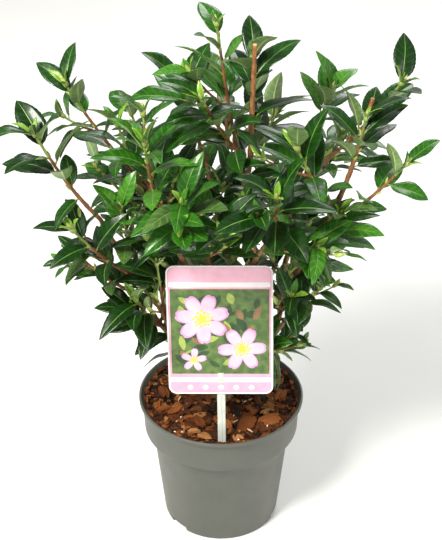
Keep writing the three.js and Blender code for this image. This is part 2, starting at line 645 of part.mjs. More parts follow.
// Stems and side shoots of every mass come first, and a side shoot with no room is left out.
function growMasses() {
  return Object.entries(MASSES).map(([name, mass], index) => {
    const seed = FIRST_SEED + index;
    const shoots = growShoots(mass, seed).filter((shoot) => !shoot.index || !touches(shootRoom(shoot)));
    for (const shoot of shoots) addObstacle(shootRoom(shoot));
    const bud = placeBud(shoots[0]);
    addObstacle(budSolid(bud, BUD.room));
    return { name, mass, seed, shoots, bud };
  });
}

// The space a shoot needs, past the foot that it shares with its parent.
function shootRoom(shoot) {
  const from = shoot.index ? SHOOT.sideRoomFrom : SHOOT.stemRoomFrom;
  return limbSolid({ ...shoot, sides: SHOOT.roomSides, steps: SHOOT.roomSteps }, SHOOT_ROOM, from);
}

// A leaf with no room turns round its shoot, and is left out after its last try.
function growLeaves({ mass, seed, shoots }) {
  const largest = mass.at(-1);
  const grown = [];
  for (const shoot of shoots) {
    for (let i = 0; i < shoot.leaves; i += 1) {
      for (let tried = 0; tried < LEAF.tries; tried += 1) {
        const leaf = placeLeaf(largest, seed, shoot, i, tried);
        if (touches(leafRoom(leaf))) continue;
        addObstacle(leafRoom(leaf));
        grown.push(leaf);
        break;
      }
    }
  }
  return grown;
}

function addFoliage() {
  for (const grown of growMasses()) {
    const leaves = growLeaves(grown);
    const fused = Manifold.union([
      ...grown.shoots.map((shoot) => limbSolid(shoot)),
      ...leaves.map((leaf) => leafSolid(leaf)),
      budSolid(grown.bud),
    ]);
    const bough = limbSolid(limbs.get(grown.mass[0]), CLEAR);
    addNode(grown.name, fused.subtract(bough), COLOURS.leaf, 0.4);
  }
}

addPot();
growTrunk();
growBoughs();
addLimbs();
addFoliage();

export default group;
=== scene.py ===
"""Camellia shrub in a nursery pot. The growth is worked out in millimetres, and the meshes are in metres.

The limbs, shoots and leaves follow the same seeded rule as the CAD part, and go on to finer twigs.
"""
import math
from types import SimpleNamespace as Values

import bpy
import numpy as np
from mathutils import Euler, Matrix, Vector, noise
from mathutils.bvhtree import BVHTree


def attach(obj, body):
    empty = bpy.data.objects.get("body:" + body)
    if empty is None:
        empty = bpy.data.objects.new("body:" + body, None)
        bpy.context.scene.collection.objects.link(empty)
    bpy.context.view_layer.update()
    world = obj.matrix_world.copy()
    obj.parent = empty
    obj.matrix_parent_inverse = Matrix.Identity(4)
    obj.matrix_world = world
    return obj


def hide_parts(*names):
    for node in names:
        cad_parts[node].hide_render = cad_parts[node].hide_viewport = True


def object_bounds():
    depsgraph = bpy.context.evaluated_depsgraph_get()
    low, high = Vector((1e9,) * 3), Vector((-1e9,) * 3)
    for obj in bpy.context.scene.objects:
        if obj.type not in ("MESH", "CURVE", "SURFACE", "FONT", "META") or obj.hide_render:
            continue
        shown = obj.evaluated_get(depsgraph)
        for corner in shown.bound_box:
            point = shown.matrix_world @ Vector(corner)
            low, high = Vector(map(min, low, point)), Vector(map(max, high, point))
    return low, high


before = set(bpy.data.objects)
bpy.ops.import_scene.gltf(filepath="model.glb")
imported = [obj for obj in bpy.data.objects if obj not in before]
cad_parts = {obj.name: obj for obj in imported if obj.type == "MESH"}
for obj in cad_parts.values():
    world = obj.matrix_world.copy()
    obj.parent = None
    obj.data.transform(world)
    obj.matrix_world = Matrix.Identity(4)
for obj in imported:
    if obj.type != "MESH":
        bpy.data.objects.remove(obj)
cad_low, cad_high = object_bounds()

MM = 0.001
UP = np.array([0.0, 0.0, 1.0])
GOLDEN_ANGLE = 2.39996

# ---------------------------------------------------------------- driving dimensions, as in the CAD part
GROUND = 138  # top of the mulch
CLEAR = 0.35
LIMB_ROOM = 0.8
SHOOT_ROOM = 0.7

POT = Values(
    height=150, rim_radius=85, lip_height=4, wall=2.2, floor=3, sides=192, collar_height=37,
    collar_top_radius=81.5, collar_foot_radius=80, step_radius=72, base_radius=60.5,
    notches=3, notch_angle=-2.4, notch_width=20, notch_height=6, notch_depth=11,
)
LABEL = Values(
    foot=(1, -70, GROUND), lean=0.17, turn=-0.03, roll=-0.02,
    stick_width=8, stick_thick=2.2, stick_buried=18, card_foot=58,
    card_width=102, card_height=136, card_thick=0.9, corner_radius=8,
    head_width=34, head_height=60, head_margin=2, tab_width=6, tab_height=11, tab_up=12, tab_out=0.6,
    margin=4, outlook=130, outlook_rise=0.45,
)
TRUNK = Values(
    foot=(2, 6, GROUND + CLEAR), tip=(5, 11, 262), bend=(2, -3, -40), rise=40,
    flare_radius=10, radius=6.2, tip_radius=3.4, flare_fade=22,
)
# Each bough: its parent, how far along the parent it leaves, its tip, its radii, and for some how
# steeply it sets out and how much it lifts at its tip.
BOUGHS = {
    "top": ("trunk", 1, (28, -20, 448), (3.4, 2.2)),
    "centre": ("top", 0.22, (-14, 26, 405), (2.8, 1.9)),
    "front": ("trunk", 0.86, (-32, -58, 382), (3.2, 2.4), 1.3, -0.2),
    "front_right": ("trunk", 0.7, (50, -58, 380), (3.2, 2.0), 1.2, -0.2),
    "upper_left": ("trunk", 0.6, (-67, 8, 387), (3.5, 2.0)),
    "centre_left": ("upper_left", 0.2, (-56, -58, 398), (2.7, 1.9), 0.9),
    "far_left": ("trunk", 0.3, (-110, -50, 387), (3.7, 2.1)),
    "low_left": ("trunk", 0.14, (-76, -26, 286), (3.2, 2.0)),
    "right": ("trunk", 0.42, (114, -28, 410), (3.9, 2.3)),
    "right_back": ("right", 0.36, (90, 55, 425), (2.9, 1.9)),
    "low_right": ("trunk", 0.2, (68, -18, 262), (3.0, 1.9)),
    "back": ("trunk", 0.8, (6, 92, 400), (3.1, 1.9)),
    "back_left": ("trunk", 0.48, (-62, 84, 370), (3.4, 2.0)),
    "back_right": ("trunk", 0.34, (84, 90, 335), (3.3, 2.0)),
    "low_back": ("trunk", 0.12, (-28, 82, 258), (2.8, 1.8)),
}
# Each mass: its bough, how far along it the mass leaves, the tip of its stem, its side shoots, the
# leaves on its stem, and the length of its largest leaf.
MASSES = {
    "far_left": ("far_left", 1, (-162, -60, 478), 0, 9, 50),
    "upper_left": ("upper_left", 1, (-141, 10, 494), 1, 8, 48),
    "left_high": ("upper_left", 0.7, (-94, -8, 462), 0, 8, 46),
    "top": ("top", 1, (28, -14, 530), 0, 9, 56),
    "top_back": ("top", 0.72, (-4, 0, 556), 1, 10, 46),
    "top_side": ("top", 0.88, (-16, -50, 506), 0, 10, 52),
    "centre": ("centre", 1, (-34, 20, 494), 0, 9, 52),
    "right": ("right", 1, (130, -20, 474), 0, 9, 50),
    "right_thin": ("right_back", 0.72, (166, 28, 486), 0, 5, 56),
    "right_tip": ("right", 0.76, (166, -40, 438), 0, 6, 46),
    "right_inner": ("right", 0.88, (68, -44, 456), 1, 9, 54),
    "right_back": ("right_back", 1, (104, 60, 462), 0, 8, 50),
    "right_mid": ("right", 0.6, (108, -50, 392), 0, 8, 50),
    "right_heart": ("right", 0.5, (66, -14, 390), 1, 8, 52),
    "centre_left": ("centre_left", 1, (-66, -78, 478), 1, 9, 50),
    "left_heart": ("centre_left", 0.62, (-62, -24, 420), 1, 8, 52),
    "left_side": ("far_left", 0.66, (-132, -78, 392), 0, 8, 44),
    "low_left": ("low_left", 1, (-130, -48, 344), 0, 6, 36),
    "left_low_heart": ("far_left", 0.42, (-60, -48, 338), 1, 8, 50),
    "left_inner": ("far_left", 0.56, (-92, -36, 390), 1, 8, 50),
    "left_low": ("low_left", 0.45, (-62, -40, 296), 0, 6, 46),
    "left_skirt": ("low_left", 0.7, (-80, -58, 304), 0, 8, 48),
    "front": ("front", 1, (-34, -98, 432), 1, 9, 52),
    "front_low": ("front", 0.8, (0, -104, 402), 0, 9, 52),
    "front_heart": ("front", 0.6, (4, -62, 366), 0, 7, 44),
    "front_inner": ("front_right", 0.64, (32, -42, 376), 0, 7, 46),
    "front_right": ("front_right", 1, (48, -96, 434), 1, 9, 58),
    "front_side": ("front_right", 0.76, (84, -80, 376), 0, 9, 50),
    "low_right": ("low_right", 1, (94, -44, 308), 0, 6, 38),
    "right_low_heart": ("low_right", 0.7, (66, -30, 318), 1, 8, 48),
    "right_skirt": ("low_right", 0.5, (60, 4, 200), 0, 5, 44),
    "back_left": ("back_left", 1, (-90, 112, 414), 0, 9, 52),
    "back_left_side": ("back_left", 0.62, (-120, 62, 378), 0, 9, 50),
    "back": ("back", 1, (4, 126, 440), 0, 9, 54),
    "back_side": ("back", 0.7, (56, 122, 410), 1, 8, 52),
    "back_heart": ("back", 0.46, (-18, 66, 372), 1, 9, 52),
    "back_right": ("back_right", 1, (122, 108, 392), 1, 9, 52),
    "back_skirt": ("back_right", 0.62, (60, 126, 318), 1, 10, 50),
    "low_back": ("low_back", 1, (-62, 116, 306), 1, 10, 50),
    "right_back_skirt": ("back_right", 0.4, (104, 56, 286), 1, 9, 50),
}
FIRST_SEED = 19

BEND = Values(out=0.36, back=0.3, flatten=0.6, steep=0.1, bough_lift=0.45, stem_lift=0.25, side_lift=0.3)
SHOOT = Values(
    stem_radii=(1.9, 1.1), side_radii=(1.4, 0.9), first_at=0.3, last_at=0.72,
    side_length=50, side_leaves=4, side_leaf_size=0.86, spread=0.85, rise=0.35,
    stem_room_from=0.06, side_room_from=0.12,
)
LEAF = Values(
    turn=2.44, bare_share=0.16, crowding=0.92, last_at=0.987, pitch=1.0, pitch_at_tip=0.5,
    aspect=0.46, arch=0.16, fold=0.34, thick=1.5, ridge_at=0.15, tries=5, try_turn=0.55,
    face_up=0.75, face_out=0.55, roll=0.45, room=0.9, room_from=0.2, room_to=1.03, room_wide=1.08,
)
LEAF_OUTLINE = [(0.28, 0.82), (0.66, 0.86)]

# ---------------------------------------------------------------- finer growth, in the scene alone
# Stems that were cut off once: the bough each stands on, how far along it, its cut end, and its radii.
STUBS = [("top", 0.85, (28.3, -65, 563), (2.3, 1.8)), ("right", 0.97, (136, -10, 488), (2.2, 1.8))]
# Short twigs along the shoots and boughs, below the airy top of the crown.
TWIG = Values(
    length=27, radii=(0.95, 0.65), leaves=3, leaf_size=0.74, on_stem=2, on_bough=14, bough_leaf=64,
    room=0.4, room_from=0.2, leaf_room=0.5, airy_above=400, first_at=0.25, low_on_bough=0.08,
    last_at=0.9, tries=3, try_turn=2.1,
)
# Added to a seed, so that draws of one kind don't repeat another's.
BOUGH_SEED = 500
FINE_SEED = 1000
RIM_CHIP_SEED = 3000
BIG_FLAKE_SEED = 4000
LEAF_SEEDS = 9973  # how many different seeds the leaves have
YOUNG = Values(leaves=3, length=20, aspect=0.36, arch=0.05, fold=0.5, sunk=1.5, on_fine=0.4)
BUD = Values(length=12, radius=2.5, on_axil=0.34, rings=8, sides=9, scales=4, sunk=2.4)
REACH_EDGE = 0.002  # metres that the growth may go past the solids' box


# ---------------------------------------------------------------- chance and curves
def chance(*keys):
    """A number from 0 to 1 that depends only on its whole-number keys. The last key names the draw."""
    h = 2166136261
    for key in keys:
        h = ((h ^ key) * 16777619) & 0xFFFFFFFF
        h ^= h >> 13
    h = ((h ^ (h >> 15)) * 2246822519) & 0xFFFFFFFF
    return (h ^ (h >> 13)) / 4294967296


def between(low, high, *keys):
    return low + (high - low) * chance(*keys)


def draws(first, keys, *spans):
    """A draw within each span, named by a whole number that counts up from the first."""
    return tuple(between(low, high, *keys, first + k) for k, (low, high) in enumerate(spans))


def unit(v):
    return v / np.linalg.norm(v)


class Bezier:
    """A cubic curve through its first and last point."""

    def __init__(self, *points):
        self.points = [np.array(p, float) for p in points]

    def point(self, t):
        a, b, c, d = self.points
        return a * (1 - t) ** 3 + b * 3 * t * (1 - t) ** 2 + c * 3 * t * t * (1 - t) + d * t ** 3

    def tangent(self, t):
        a, b, c, d = self.points
        return unit((b - a) * (1 - t) ** 2 + (c - b) * 2 * t * (1 - t) + (d - c) * t * t)

    def length(self):
        line = [self.point(k / 12) for k in range(13)]
        return sum(np.linalg.norm(b - a) for a, b in zip(line, line[1:]))


def growth_curve(foot, tip, lift, steep=BEND.steep):
    """A growing limb's line. It sets out steeply, and turns up towards the light at its tip."""
    foot, tip = np.array(foot, float), np.array(tip, float)
    length = np.linalg.norm(tip - foot)
    outset = unit(tip - foot)
    outset[2] = outset[2] * BEND.flatten + steep
    arrival = unit(tip - foot) + UP * lift
    return Bezier(
        foot, foot + unit(outset) * length * BEND.out, tip - unit(arrival) * length * BEND.back, tip
    )


def across_frame(tangent):
    """Two directions across a line, the first of them level."""
    level = np.cross(tangent, UP)
    if np.linalg.norm(level) < 1e-3:
        level = np.array([1.0, 0.0, 0.0])
    level = unit(level)
    return level, unit(np.cross(level, tangent))


def turned(frame_across, angle):
    """The direction at an angle round a line."""
    level, rising = frame_across
    return level * math.cos(angle) + rising * math.sin(angle)


def leaning(tangent, angle, spread, rise):
    """The direction that leaves a line by a spread, at an angle round it, and rises a little."""
    away = turned(across_frame(tangent), angle)
    return unit(tangent * math.cos(spread) + away * math.sin(spread) + UP * rise)


def taper(radii):
    return lambda t: radii[0] + (radii[1] - radii[0]) * t


# ---------------------------------------------------------------- joined pieces
class Shape:
    """Corners and faces of one joined piece, in millimetres, with a material number for each face."""

    def __init__(self):
        self.corners, self.faces, self.slots, self.uvs, self.count = [], [], [], [], 0

    def add(self, corners, faces, slots=0, uvs=None):
        """Slots is one material number, or one for each face. Each corner may have a pattern coordinate."""
        corners = np.asarray(corners, float)
        self.corners.append(corners)
        self.faces.extend([tuple(k + self.count for k in face) for face in faces])
        self.slots.extend([slots] * len(faces) if isinstance(slots, int) else slots)
        self.uvs.append(np.zeros((len(corners), 2)) if uvs is None else np.asarray(uvs, float))
        self.count += len(corners)

    def build(self, name, materials, record_slot, replaced=(), smooth=True):
        """Make the piece, and hide the solids it stands for."""
        mesh = bpy.data.meshes.new(name)
        mesh.from_pydata((np.concatenate(self.corners) * MM).tolist(), [], self.faces)
        for material in materials:
            mesh.materials.append(material)
        mesh.polygons.foreach_set("material_index", self.slots)
        mesh.polygons.foreach_set("use_smooth", [smooth] * len(self.faces))
        loops = np.zeros(len(mesh.loops), np.int32)
        mesh.loops.foreach_get("vertex_index", loops)
        layer = mesh.uv_layers.new(name="pattern")
        layer.data.foreach_set("uv", np.concatenate(self.uvs)[loops].astype(np.float32).ravel())
        mesh.update()
        piece = bpy.data.objects.new(name, mesh)
        bpy.context.scene.collection.objects.link(piece)
        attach(piece, "root")
        if replaced:
            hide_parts(*replaced)


def grid_faces(rows, columns, start=0, closed=False):
    """Faces between rows of corners. A closed grid's last column meets its first."""
    faces = []
    for row in range(rows - 1):
        for k in range(columns if closed else columns - 1):
            a, b = start + row * columns + k, start + row * columns + (k + 1) % columns
            faces.append((a, b, b + columns, a + columns))
    return faces


BARK_GRAIN = (0.35, 0.35, 0.12)
TIP_ROUNDING = 0.7


def tube(shape, curve, radius_at, sides, steps, slot_at, relief=0.0, seed=0, swell=None):
    """A round limb with a closed, rounded tip. Relief is the depth of its bark as a share of its radius."""
    corners, uvs, length = [], [], curve.length()
    for i in range(steps + 1):
        t = i / steps
        centre, across = curve.point(t), across_frame(curve.tangent(t))
        radius = radius_at(t) * (swell(t * length) if swell else 1)
        for k in range(sides):
            out = turned(across, math.tau * k / sides)
            place = Vector((centre + out * radius) * BARK_GRAIN) + Vector((seed, 0, 0))
            corners.append(centre + out * radius * (1 + relief * noise.noise(place)))
            uvs.append((k / sides, t * length / 10))
    last, tip = steps * sides, (steps + 1) * sides
    corners.append(curve.point(1) + curve.tangent(1) * radius_at(1) * TIP_ROUNDING)
    uvs.append((0, 0))
    faces = grid_faces(steps + 1, sides, closed=True)
    faces += [(last + k, last + (k + 1) % sides, tip) for k in range(sides)]
    slots = [slot_at(min(1, (i + 0.5) / steps)) for i in range(steps + 1) for _ in range(sides)]
    shape.add(corners, faces, slots, uvs)


# ---------------------------------------------------------------- room between limbs and leaves
class Rooms:
    """Spaces that leaves and twigs keep clear of."""

    def __init__(self):
        self.lows, self.highs, self.trees, self.solid = [], [], [], []

    def add(self, corners, faces, solid=False):
        corners = np.asarray(corners)
        self.lows.append(corners.min(0))
        self.highs.append(corners.max(0))
        self.trees.append(BVHTree.FromPolygons(corners.tolist(), faces))
        self.solid.append(solid)

    def touch(self, corners, faces):
        corners = np.asarray(corners)
        low, high = corners.min(0), corners.max(0)
        near = np.all((np.array(self.lows) < high) & (np.array(self.highs) > low), axis=1)
        tree = None
        for k in np.nonzero(near)[0]:
            if self.solid[k] and self.holds(self.trees[k], corners):
                return True
            tree = tree or BVHTree.FromPolygons(corners.tolist(), faces)
            if self.trees[k].overlap(tree):
                return True
        return False

    @staticmethod
    def holds(tree, corners):
        """Whether one of the corners lies inside a closed room."""
        for corner in corners:
            place, normal, _, _ = tree.find_nearest(Vector(corner))
            if (Vector(corner) - place).dot(normal) < 0:
                return True
        return False


def limb_room(limb, grow, start=0.0, sides=5, steps=5):
    """The space of a limb or shoot, grown on all sides."""
    corners = []
    for i in range(steps + 1):
        t = start + (1 - start) * i / steps
        tangent = limb.curve.tangent(t)
        centre = limb.curve.point(t) + tangent * grow * ((i == steps) - (i == 0))
        level, rising = across_frame(tangent)
        radius = limb.radius_at(t) + grow
        for k in range(sides):
            angle = math.tau * k / sides
            corners.append(centre + level * radius * math.cos(angle) + rising * radius * math.sin(angle))
    last = steps * sides
    ends = [tuple(range(sides)), tuple(range(last, last + sides))]
    return corners, grid_faces(steps + 1, sides, closed=True) + ends


def leaf_point(leaf, along, across, off=0.0):
    """A point of a leaf's surface: along its length, across it from -1 to 1, and off it."""
    half = leaf.width / 2 * abs(across)
    return (
        leaf.root + leaf.way * leaf.length * along + leaf.side * leaf.width / 2 * across
        + leaf.face * (-leaf.arch * leaf.length * along * along + leaf.fold * half + off)
    )


def leaf_room(leaf, room):
    """The space a leaf needs, past the root that it shares with its shoot."""
    wide, thick = LEAF.room_wide, LEAF.thick / 2 + room
    rim = [leaf_point(leaf, LEAF.room_from, 0)]
    rim += [leaf_point(leaf, along, across * wide) for along, across in LEAF_OUTLINE]
    rim += [leaf_point(leaf, LEAF.room_to, 0)]
    rim += [leaf_point(leaf, along, -across * wide) for along, across in reversed(LEAF_OUTLINE)]
    ridge = [leaf_point(leaf, LEAF.ridge_at, 0, off) for off in (thick, -thick)]
    faces = []
    for k in range(len(rim)):
        after = (k + 1) % len(rim)
        faces += [(k, after, len(rim)), (after, k, len(rim) + 1)]
    return rim + ridge, faces


def label_matrix():
    """From the label's own frame, with the stick's foot at the origin, to the part's."""
    turn = Euler((0, 0, LABEL.turn)).to_matrix() @ Euler((0, LABEL.roll, 0)).to_matrix()
    turn = turn @ Euler((-LABEL.lean, 0, 0)).to_matrix()
    return np.array(turn), np.array(LABEL.foot, float)


def on_label(points):
    turn, foot = label_matrix()
    return np.asarray(points, float) @ turn.T + foot


def label_room():
    """The space at the label's back and in front of it."""
    margin, out, foot = LABEL.margin, LABEL.outlook, LABEL.card_foot
    top = foot + LABEL.card_height
    side = [
        (margin, foot - margin), (margin, top + margin), (-out, top + out * LABEL.outlook_rise),
        (-out, foot - margin),
    ]
    half = LABEL.card_width / 2 + margin
    corners = [(x, y, z) for x in (-half, half) for y, z in side]
    faces = [(3, 2, 1, 0), (4, 5, 6, 7)] + [(k, (k + 1) % 4, (k + 1) % 4 + 4, k + 4) for k in range(4)]
    return on_label(corners), faces


def pot_room(sides=32):
    """The space in the pot above the mulch."""
    corners = [p for z in (GROUND, POT.height + 1) for p in circle(POT.rim_radius + 1, z, sides)]
    ends = [tuple(reversed(range(sides))), tuple(range(sides, 2 * sides))]
    return corners, grid_faces(2, sides, closed=True) + ends


# ---------------------------------------------------------------- growth
def grow_limbs():
    """The trunk and boughs by name, each with its curve and its radius along it."""
    foot, tip = np.array(TRUNK.foot, float), np.array(TRUNK.tip, float)
    flare = TRUNK.flare_radius - TRUNK.radius
    stem = taper((TRUNK.radius, TRUNK.tip_radius))
    limbs = {"trunk": Values(
        curve=Bezier(foot, foot + UP * TRUNK.rise, tip + np.array(TRUNK.bend), tip),
        radius_at=lambda t: stem(t) + flare * math.exp(-t * TRUNK.flare_fade),
    )}
    for name, (parent, share, tip, radii, *bend) in BOUGHS.items():
        steep = bend[0] if bend else BEND.steep
        lift = bend[1] if len(bend) > 1 else BEND.bough_lift
        curve = growth_curve(limbs[parent].curve.point(share), tip, lift, steep)
        limbs[name] = Values(curve=curve, radius_at=taper(radii))
    return limbs


def grow_shoots(limbs, mass, seed):
    """A mass's stem, then side shoots that leave it in a spiral."""
    bough, share, tip, side_shoots, leaves, _ = mass
    stem = Values(
        curve=growth_curve(limbs[bough].curve.point(share), tip, BEND.stem_lift),
        radius_at=taper(SHOOT.stem_radii), leaves=leaves, index=0, fine=False,
    )
    shoots = [stem]
    for i in range(side_shoots):
        even = SHOOT.first_at + (SHOOT.last_at - SHOOT.first_at) * (i + 0.5) / side_shoots
        at = even + between(-0.05, 0.05, seed, i, 1)
        angle = GOLDEN_ANGLE * i + between(0, math.tau, seed, 2)
        length = SHOOT.side_length * between(0.75, 1.15, seed, i, 3)
        shoots.append(Values(
            curve=side_curve(stem.curve, at, angle, length), radius_at=taper(SHOOT.side_radii),
            leaves=SHOOT.side_leaves, index=i + 1, fine=False,
        ))
    return shoots


def side_curve(parent, at, angle, length):
    """The line of a shoot that leaves its parent at an angle round it."""
    start, way = parent.point(at), leaning(parent.tangent(at), angle, SHOOT.spread, SHOOT.rise)
    return growth_curve(start, start + way * length, BEND.side_lift)


def leaf_place(share):
    """How far along its shoot a leaf stands."""
    return LEAF.bare_share + (LEAF.last_at - LEAF.bare_share) * share ** LEAF.crowding


def new_leaf(root, way, face, **rest):
    """A leaf whose way, side and face are at right angles to each other."""
    face = unit(face - way * np.dot(face, way))
    return Values(root=root, way=way, side=unit(np.cross(face, way)), face=face, **rest)


def place_leaf(largest, seed, shoot, i, tried):
    """Leaf number i of a shoot. On each further try it is turned another way round the shoot."""
    curve, index = shoot.curve, shoot.index

    def vary(low, high, what):
        return between(low, high, seed, index, i, what)

    share = (i + 1) / shoot.leaves
    at = leaf_place(share)
    tangent = curve.tangent(at)
    level, _ = across_frame(tangent)
    turn = LEAF.turn * i + between(0, math.tau, seed, index, 5) + vary(-0.3, 0.3, 6)
    turn += LEAF.try_turn * tried * (1 if tried % 2 else -1)
    pitch = LEAF.pitch + (LEAF.pitch_at_tip - LEAF.pitch) * share + vary(-0.22, 0.22, 7)
    way = leaning(tangent, turn, pitch, vary(-0.16, 0.2, 8))
    face = UP * LEAF.face_up + tangent * LEAF.face_out + level * vary(-LEAF.roll, LEAF.roll, 9)
    size = (0.8 + 0.2 * math.sin(0.9 * math.pi * share)) * (SHOOT.side_leaf_size if index else 1)
    length = largest * size * vary(0.86, 1.06, 10)
    return new_leaf(
        curve.point(at), way, face, length=length, width=length * LEAF.aspect * vary(0.88, 1.12, 11),
        arch=LEAF.arch * vary(0.2, 1.7, 12), fold=LEAF.fold * vary(0.3, 1.3, 13),
        seed=(seed * 31 + index * 7 + i) % LEAF_SEEDS, young=False,
    )


def grow_leaves(rooms, shoot, largest, seed, room):
    """A leaf with no room turns round its shoot, and is left out after its last try."""
    leaves = []
    for i in range(shoot.leaves):
        for tried in range(LEAF.tries):
            leaf = place_leaf(largest, seed, shoot, i, tried)
            space = leaf_room(leaf, room)
            if rooms.touch(*space) or not in_reach(space[0]):
                continue
            rooms.add(*space)
            leaves.append(leaf)
            break
    return leaves


def in_reach(corners):
    """Whether corners stay within the reach of the whole plant."""
    corners = np.asarray(corners) * MM
    low, high = np.array(cad_low) - REACH_EDGE, np.array(cad_high) + REACH_EDGE
    return bool(np.all(corners > low) and np.all(corners < high))


def fine_shoot(parent, first, share, key, seed, tried):
    """A short twig at a share of a parent line. On each further try it leaves at another angle."""
    number = int(share * 100)
    at = first + (TWIG.last_at - first) * share + between(-0.03, 0.03, seed, key, number, 21)
    angle = GOLDEN_ANGLE * share * 10 + between(0, math.tau, seed, key, 22) + TWIG.try_turn * tried
    length = TWIG.length * between(0.75, 1.25, seed, key, number, 23)
    return Values(
        curve=side_curve(parent, at, angle, length), radius_at=taper(TWIG.radii),
        leaves=TWIG.leaves, index=key * 100 + number, fine=True,
    )


def grow_fine(rooms, parents, largest, seed, first):
    """Fine twigs with their leaves along the parents, left out where no angle has room or sky shows."""
    shoots, leaves = [], []
    for key, (parent, count) in enumerate(parents, start=3):
        for i in range(count):
            for tried in range(TWIG.tries):
                shoot = fine_shoot(parent, first, (i + 0.5) / count, key, seed, tried)
                space = limb_room(shoot, TWIG.room, TWIG.room_from)
                airy = shoot.curve.point(1)[2] > TWIG.airy_above
                if airy or rooms.touch(*space) or not in_reach(space[0]):
                    continue
                rooms.add(*space)
                leaf_size = largest * TWIG.leaf_size
                leaves += grow_leaves(rooms, shoot, leaf_size, seed + FINE_SEED, TWIG.leaf_room)
                shoots.append(shoot)
                break
    return shoots, leaves


def grow_mass(rooms, limbs, name, mass, seed):
    """A mass's stem and those of its side shoots that have room, without leaves yet."""
    shoots = []
    for shoot in grow_shoots(limbs, mass, seed):
        space = limb_room(shoot, SHOOT_ROOM, SHOOT.side_room_from if shoot.index else SHOOT.stem_room_from)
        if not (shoot.index and rooms.touch(*space)):
            shoots.append((shoot, space))
    for _, space in shoots:
        rooms.add(*space)
    return Values(name=name, seed=seed, shoots=[shoot for shoot, _ in shoots], largest=mass[-1], leaves=[])


def grow_plant():
    """Limbs, and for each mass and bough its shoots and leaves."""
    limbs, rooms = grow_limbs(), Rooms()
    rooms.add(*label_room(), solid=True)
    rooms.add(*pot_room(), solid=True)
    for name, limb in limbs.items():
        sides, steps = (9, 9) if name == "trunk" else (6, 5)
        rooms.add(*limb_room(limb, LIMB_ROOM, 0, sides, steps))
    sprays = [grow_mass(rooms, limbs, name, mass, FIRST_SEED + index)
              for index, (name, mass) in enumerate(MASSES.items())]
    for spray in sprays:
        for shoot in spray.shoots:
            spray.leaves += grow_leaves(rooms, shoot, spray.largest, spray.seed, LEAF.room)
    for spray in sprays:
        parents = [(shoot.curve, 1 if shoot.index else TWIG.on_stem) for shoot in spray.shoots]
        spray.fine, leaves = grow_fine(rooms, parents, spray.largest, spray.seed, TWIG.first_at)
        spray.leaves += leaves
    for seed, name in enumerate(BOUGHS, start=BOUGH_SEED + 1):
        parents = [(limbs[name].curve, TWIG.on_bough)]
        fine, leaves = grow_fine(rooms, parents, TWIG.bough_leaf, seed, TWIG.low_on_bough)
        sprays.append(Values(name=name, seed=seed, shoots=[], fine=fine, leaves=leaves))
    return limbs, sprays


# ---------------------------------------------------------------- materials
def srgb(colour):
    """A colour as the shaders want it, from 0 to 255 as seen."""
    def linear(c):
        c /= 255
        return c / 12.92 if c <= 0.04045 else ((c + 0.055) / 1.055) ** 2.4
    return (*(linear(c) for c in colour), 1.0)


def feed(material, node, inputs):
    """Set a node's inputs, each to a plain value or linked to the output that feeds it."""
    for key, value in inputs.items():
        if isinstance(value, bpy.types.NodeSocket):
            material.node_tree.links.new(value, node.inputs[key])
        else:
            node.inputs[key].default_value = value


def add_node(material, kind, inputs, output, **settings):
    """Add a node with its settings and inputs, and give one of its outputs."""
    node = material.node_tree.nodes.new("ShaderNode" + kind)
    for key, value in settings.items():
        setattr(node, key, value)
    feed(material, node, inputs)
    return node.outputs[output]


def add_ramp(material, share, colours, places=(0.3, 0.7)):
    """A ramp between two colours at two places."""
    colour = add_node(material, "ValToRGB", {"Fac": share}, "Color")
    for element, place, shade in zip(colour.node.color_ramp.elements, places, colours):
        element.position, element.color = place, shade
    return colour


def overlay(material, share, colour):
    """Lay a plain colour over a finish, by a share."""
    base = material.node_tree.nodes["Principled BSDF"].inputs["Base Color"]
    layers = {0: share, 6: base.links[0].from_socket, 7: srgb(colour)}
    material.node_tree.links.new(add_node(material, "Mix", layers, 2, data_type="RGBA"), base)
    return material


def procedural(
    name, dark, light, grain, roughness, relief, stretch=(1, 1, 1), coat=0.0, space="Object", shine=0.5,
):
    """A finish between two colours. Grain is the size of its mottling and relief the depth of its
    unevenness, in millimetres; stretch squeezes both along the axes."""
    material = bpy.data.materials.new(name)
    material.use_nodes = True
    where = add_node(material, "TexCoord", {}, space)
    place = add_node(material, "Mapping", {"Vector": where, "Scale": stretch}, "Vector")
    per_unit = 1 / (grain * MM) if space == "Object" else 1 / grain

    def mottle(scale, detail):
        inputs = {"Vector": place, "Scale": per_unit * scale, "Detail": detail}
        return add_node(material, "TexNoise", inputs, "Fac")

    gloss = {"Value": mottle(1.7, 2), "To Min": roughness[0], "To Max": roughness[1]}
    bump = {"Height": mottle(3, 5), "Strength": 0.6, "Distance": relief * MM}
    feed(material, material.node_tree.nodes["Principled BSDF"], {
        "Base Color": add_ramp(material, mottle(1, 4), (srgb(dark), srgb(light))),
        "Roughness": add_node(material, "MapRange", gloss, "Result"),
        "Normal": add_node(material, "Bump", bump, "Normal"),
        "Coat Weight": coat, "Coat Roughness": 0.12, "Specular IOR Level": shine,
    })
    return material


# Tints of the leaves' upper side: the main ones, dealt out by spray, and then those of single leaves.
LEAF_TINTS = [
    ("leaf_deep", (5, 33, 2), (14, 52, 4)),
    ("leaf_dark", (9, 44, 3), (24, 69, 8)),
    ("leaf_mid", (20, 66, 5), (42, 97, 14)),
    ("leaf_fresh", (40, 94, 16), (70, 126, 32)),
    ("leaf_grey", (46, 76, 30), (76, 106, 48)),
    ("leaf_young", (88, 136, 30), (134, 172, 60)),
]
MAIN_TINTS = 3
FRESH, GREY, YOUNG_TINT, UNDER, UNDER_RIB, RIB, STALK = range(MAIN_TINTS, MAIN_TINTS + 7)
VEIN_WIDTH = 0.11  # as a share of the way from vein to vein
VEIN_STRENGTH = 0.6


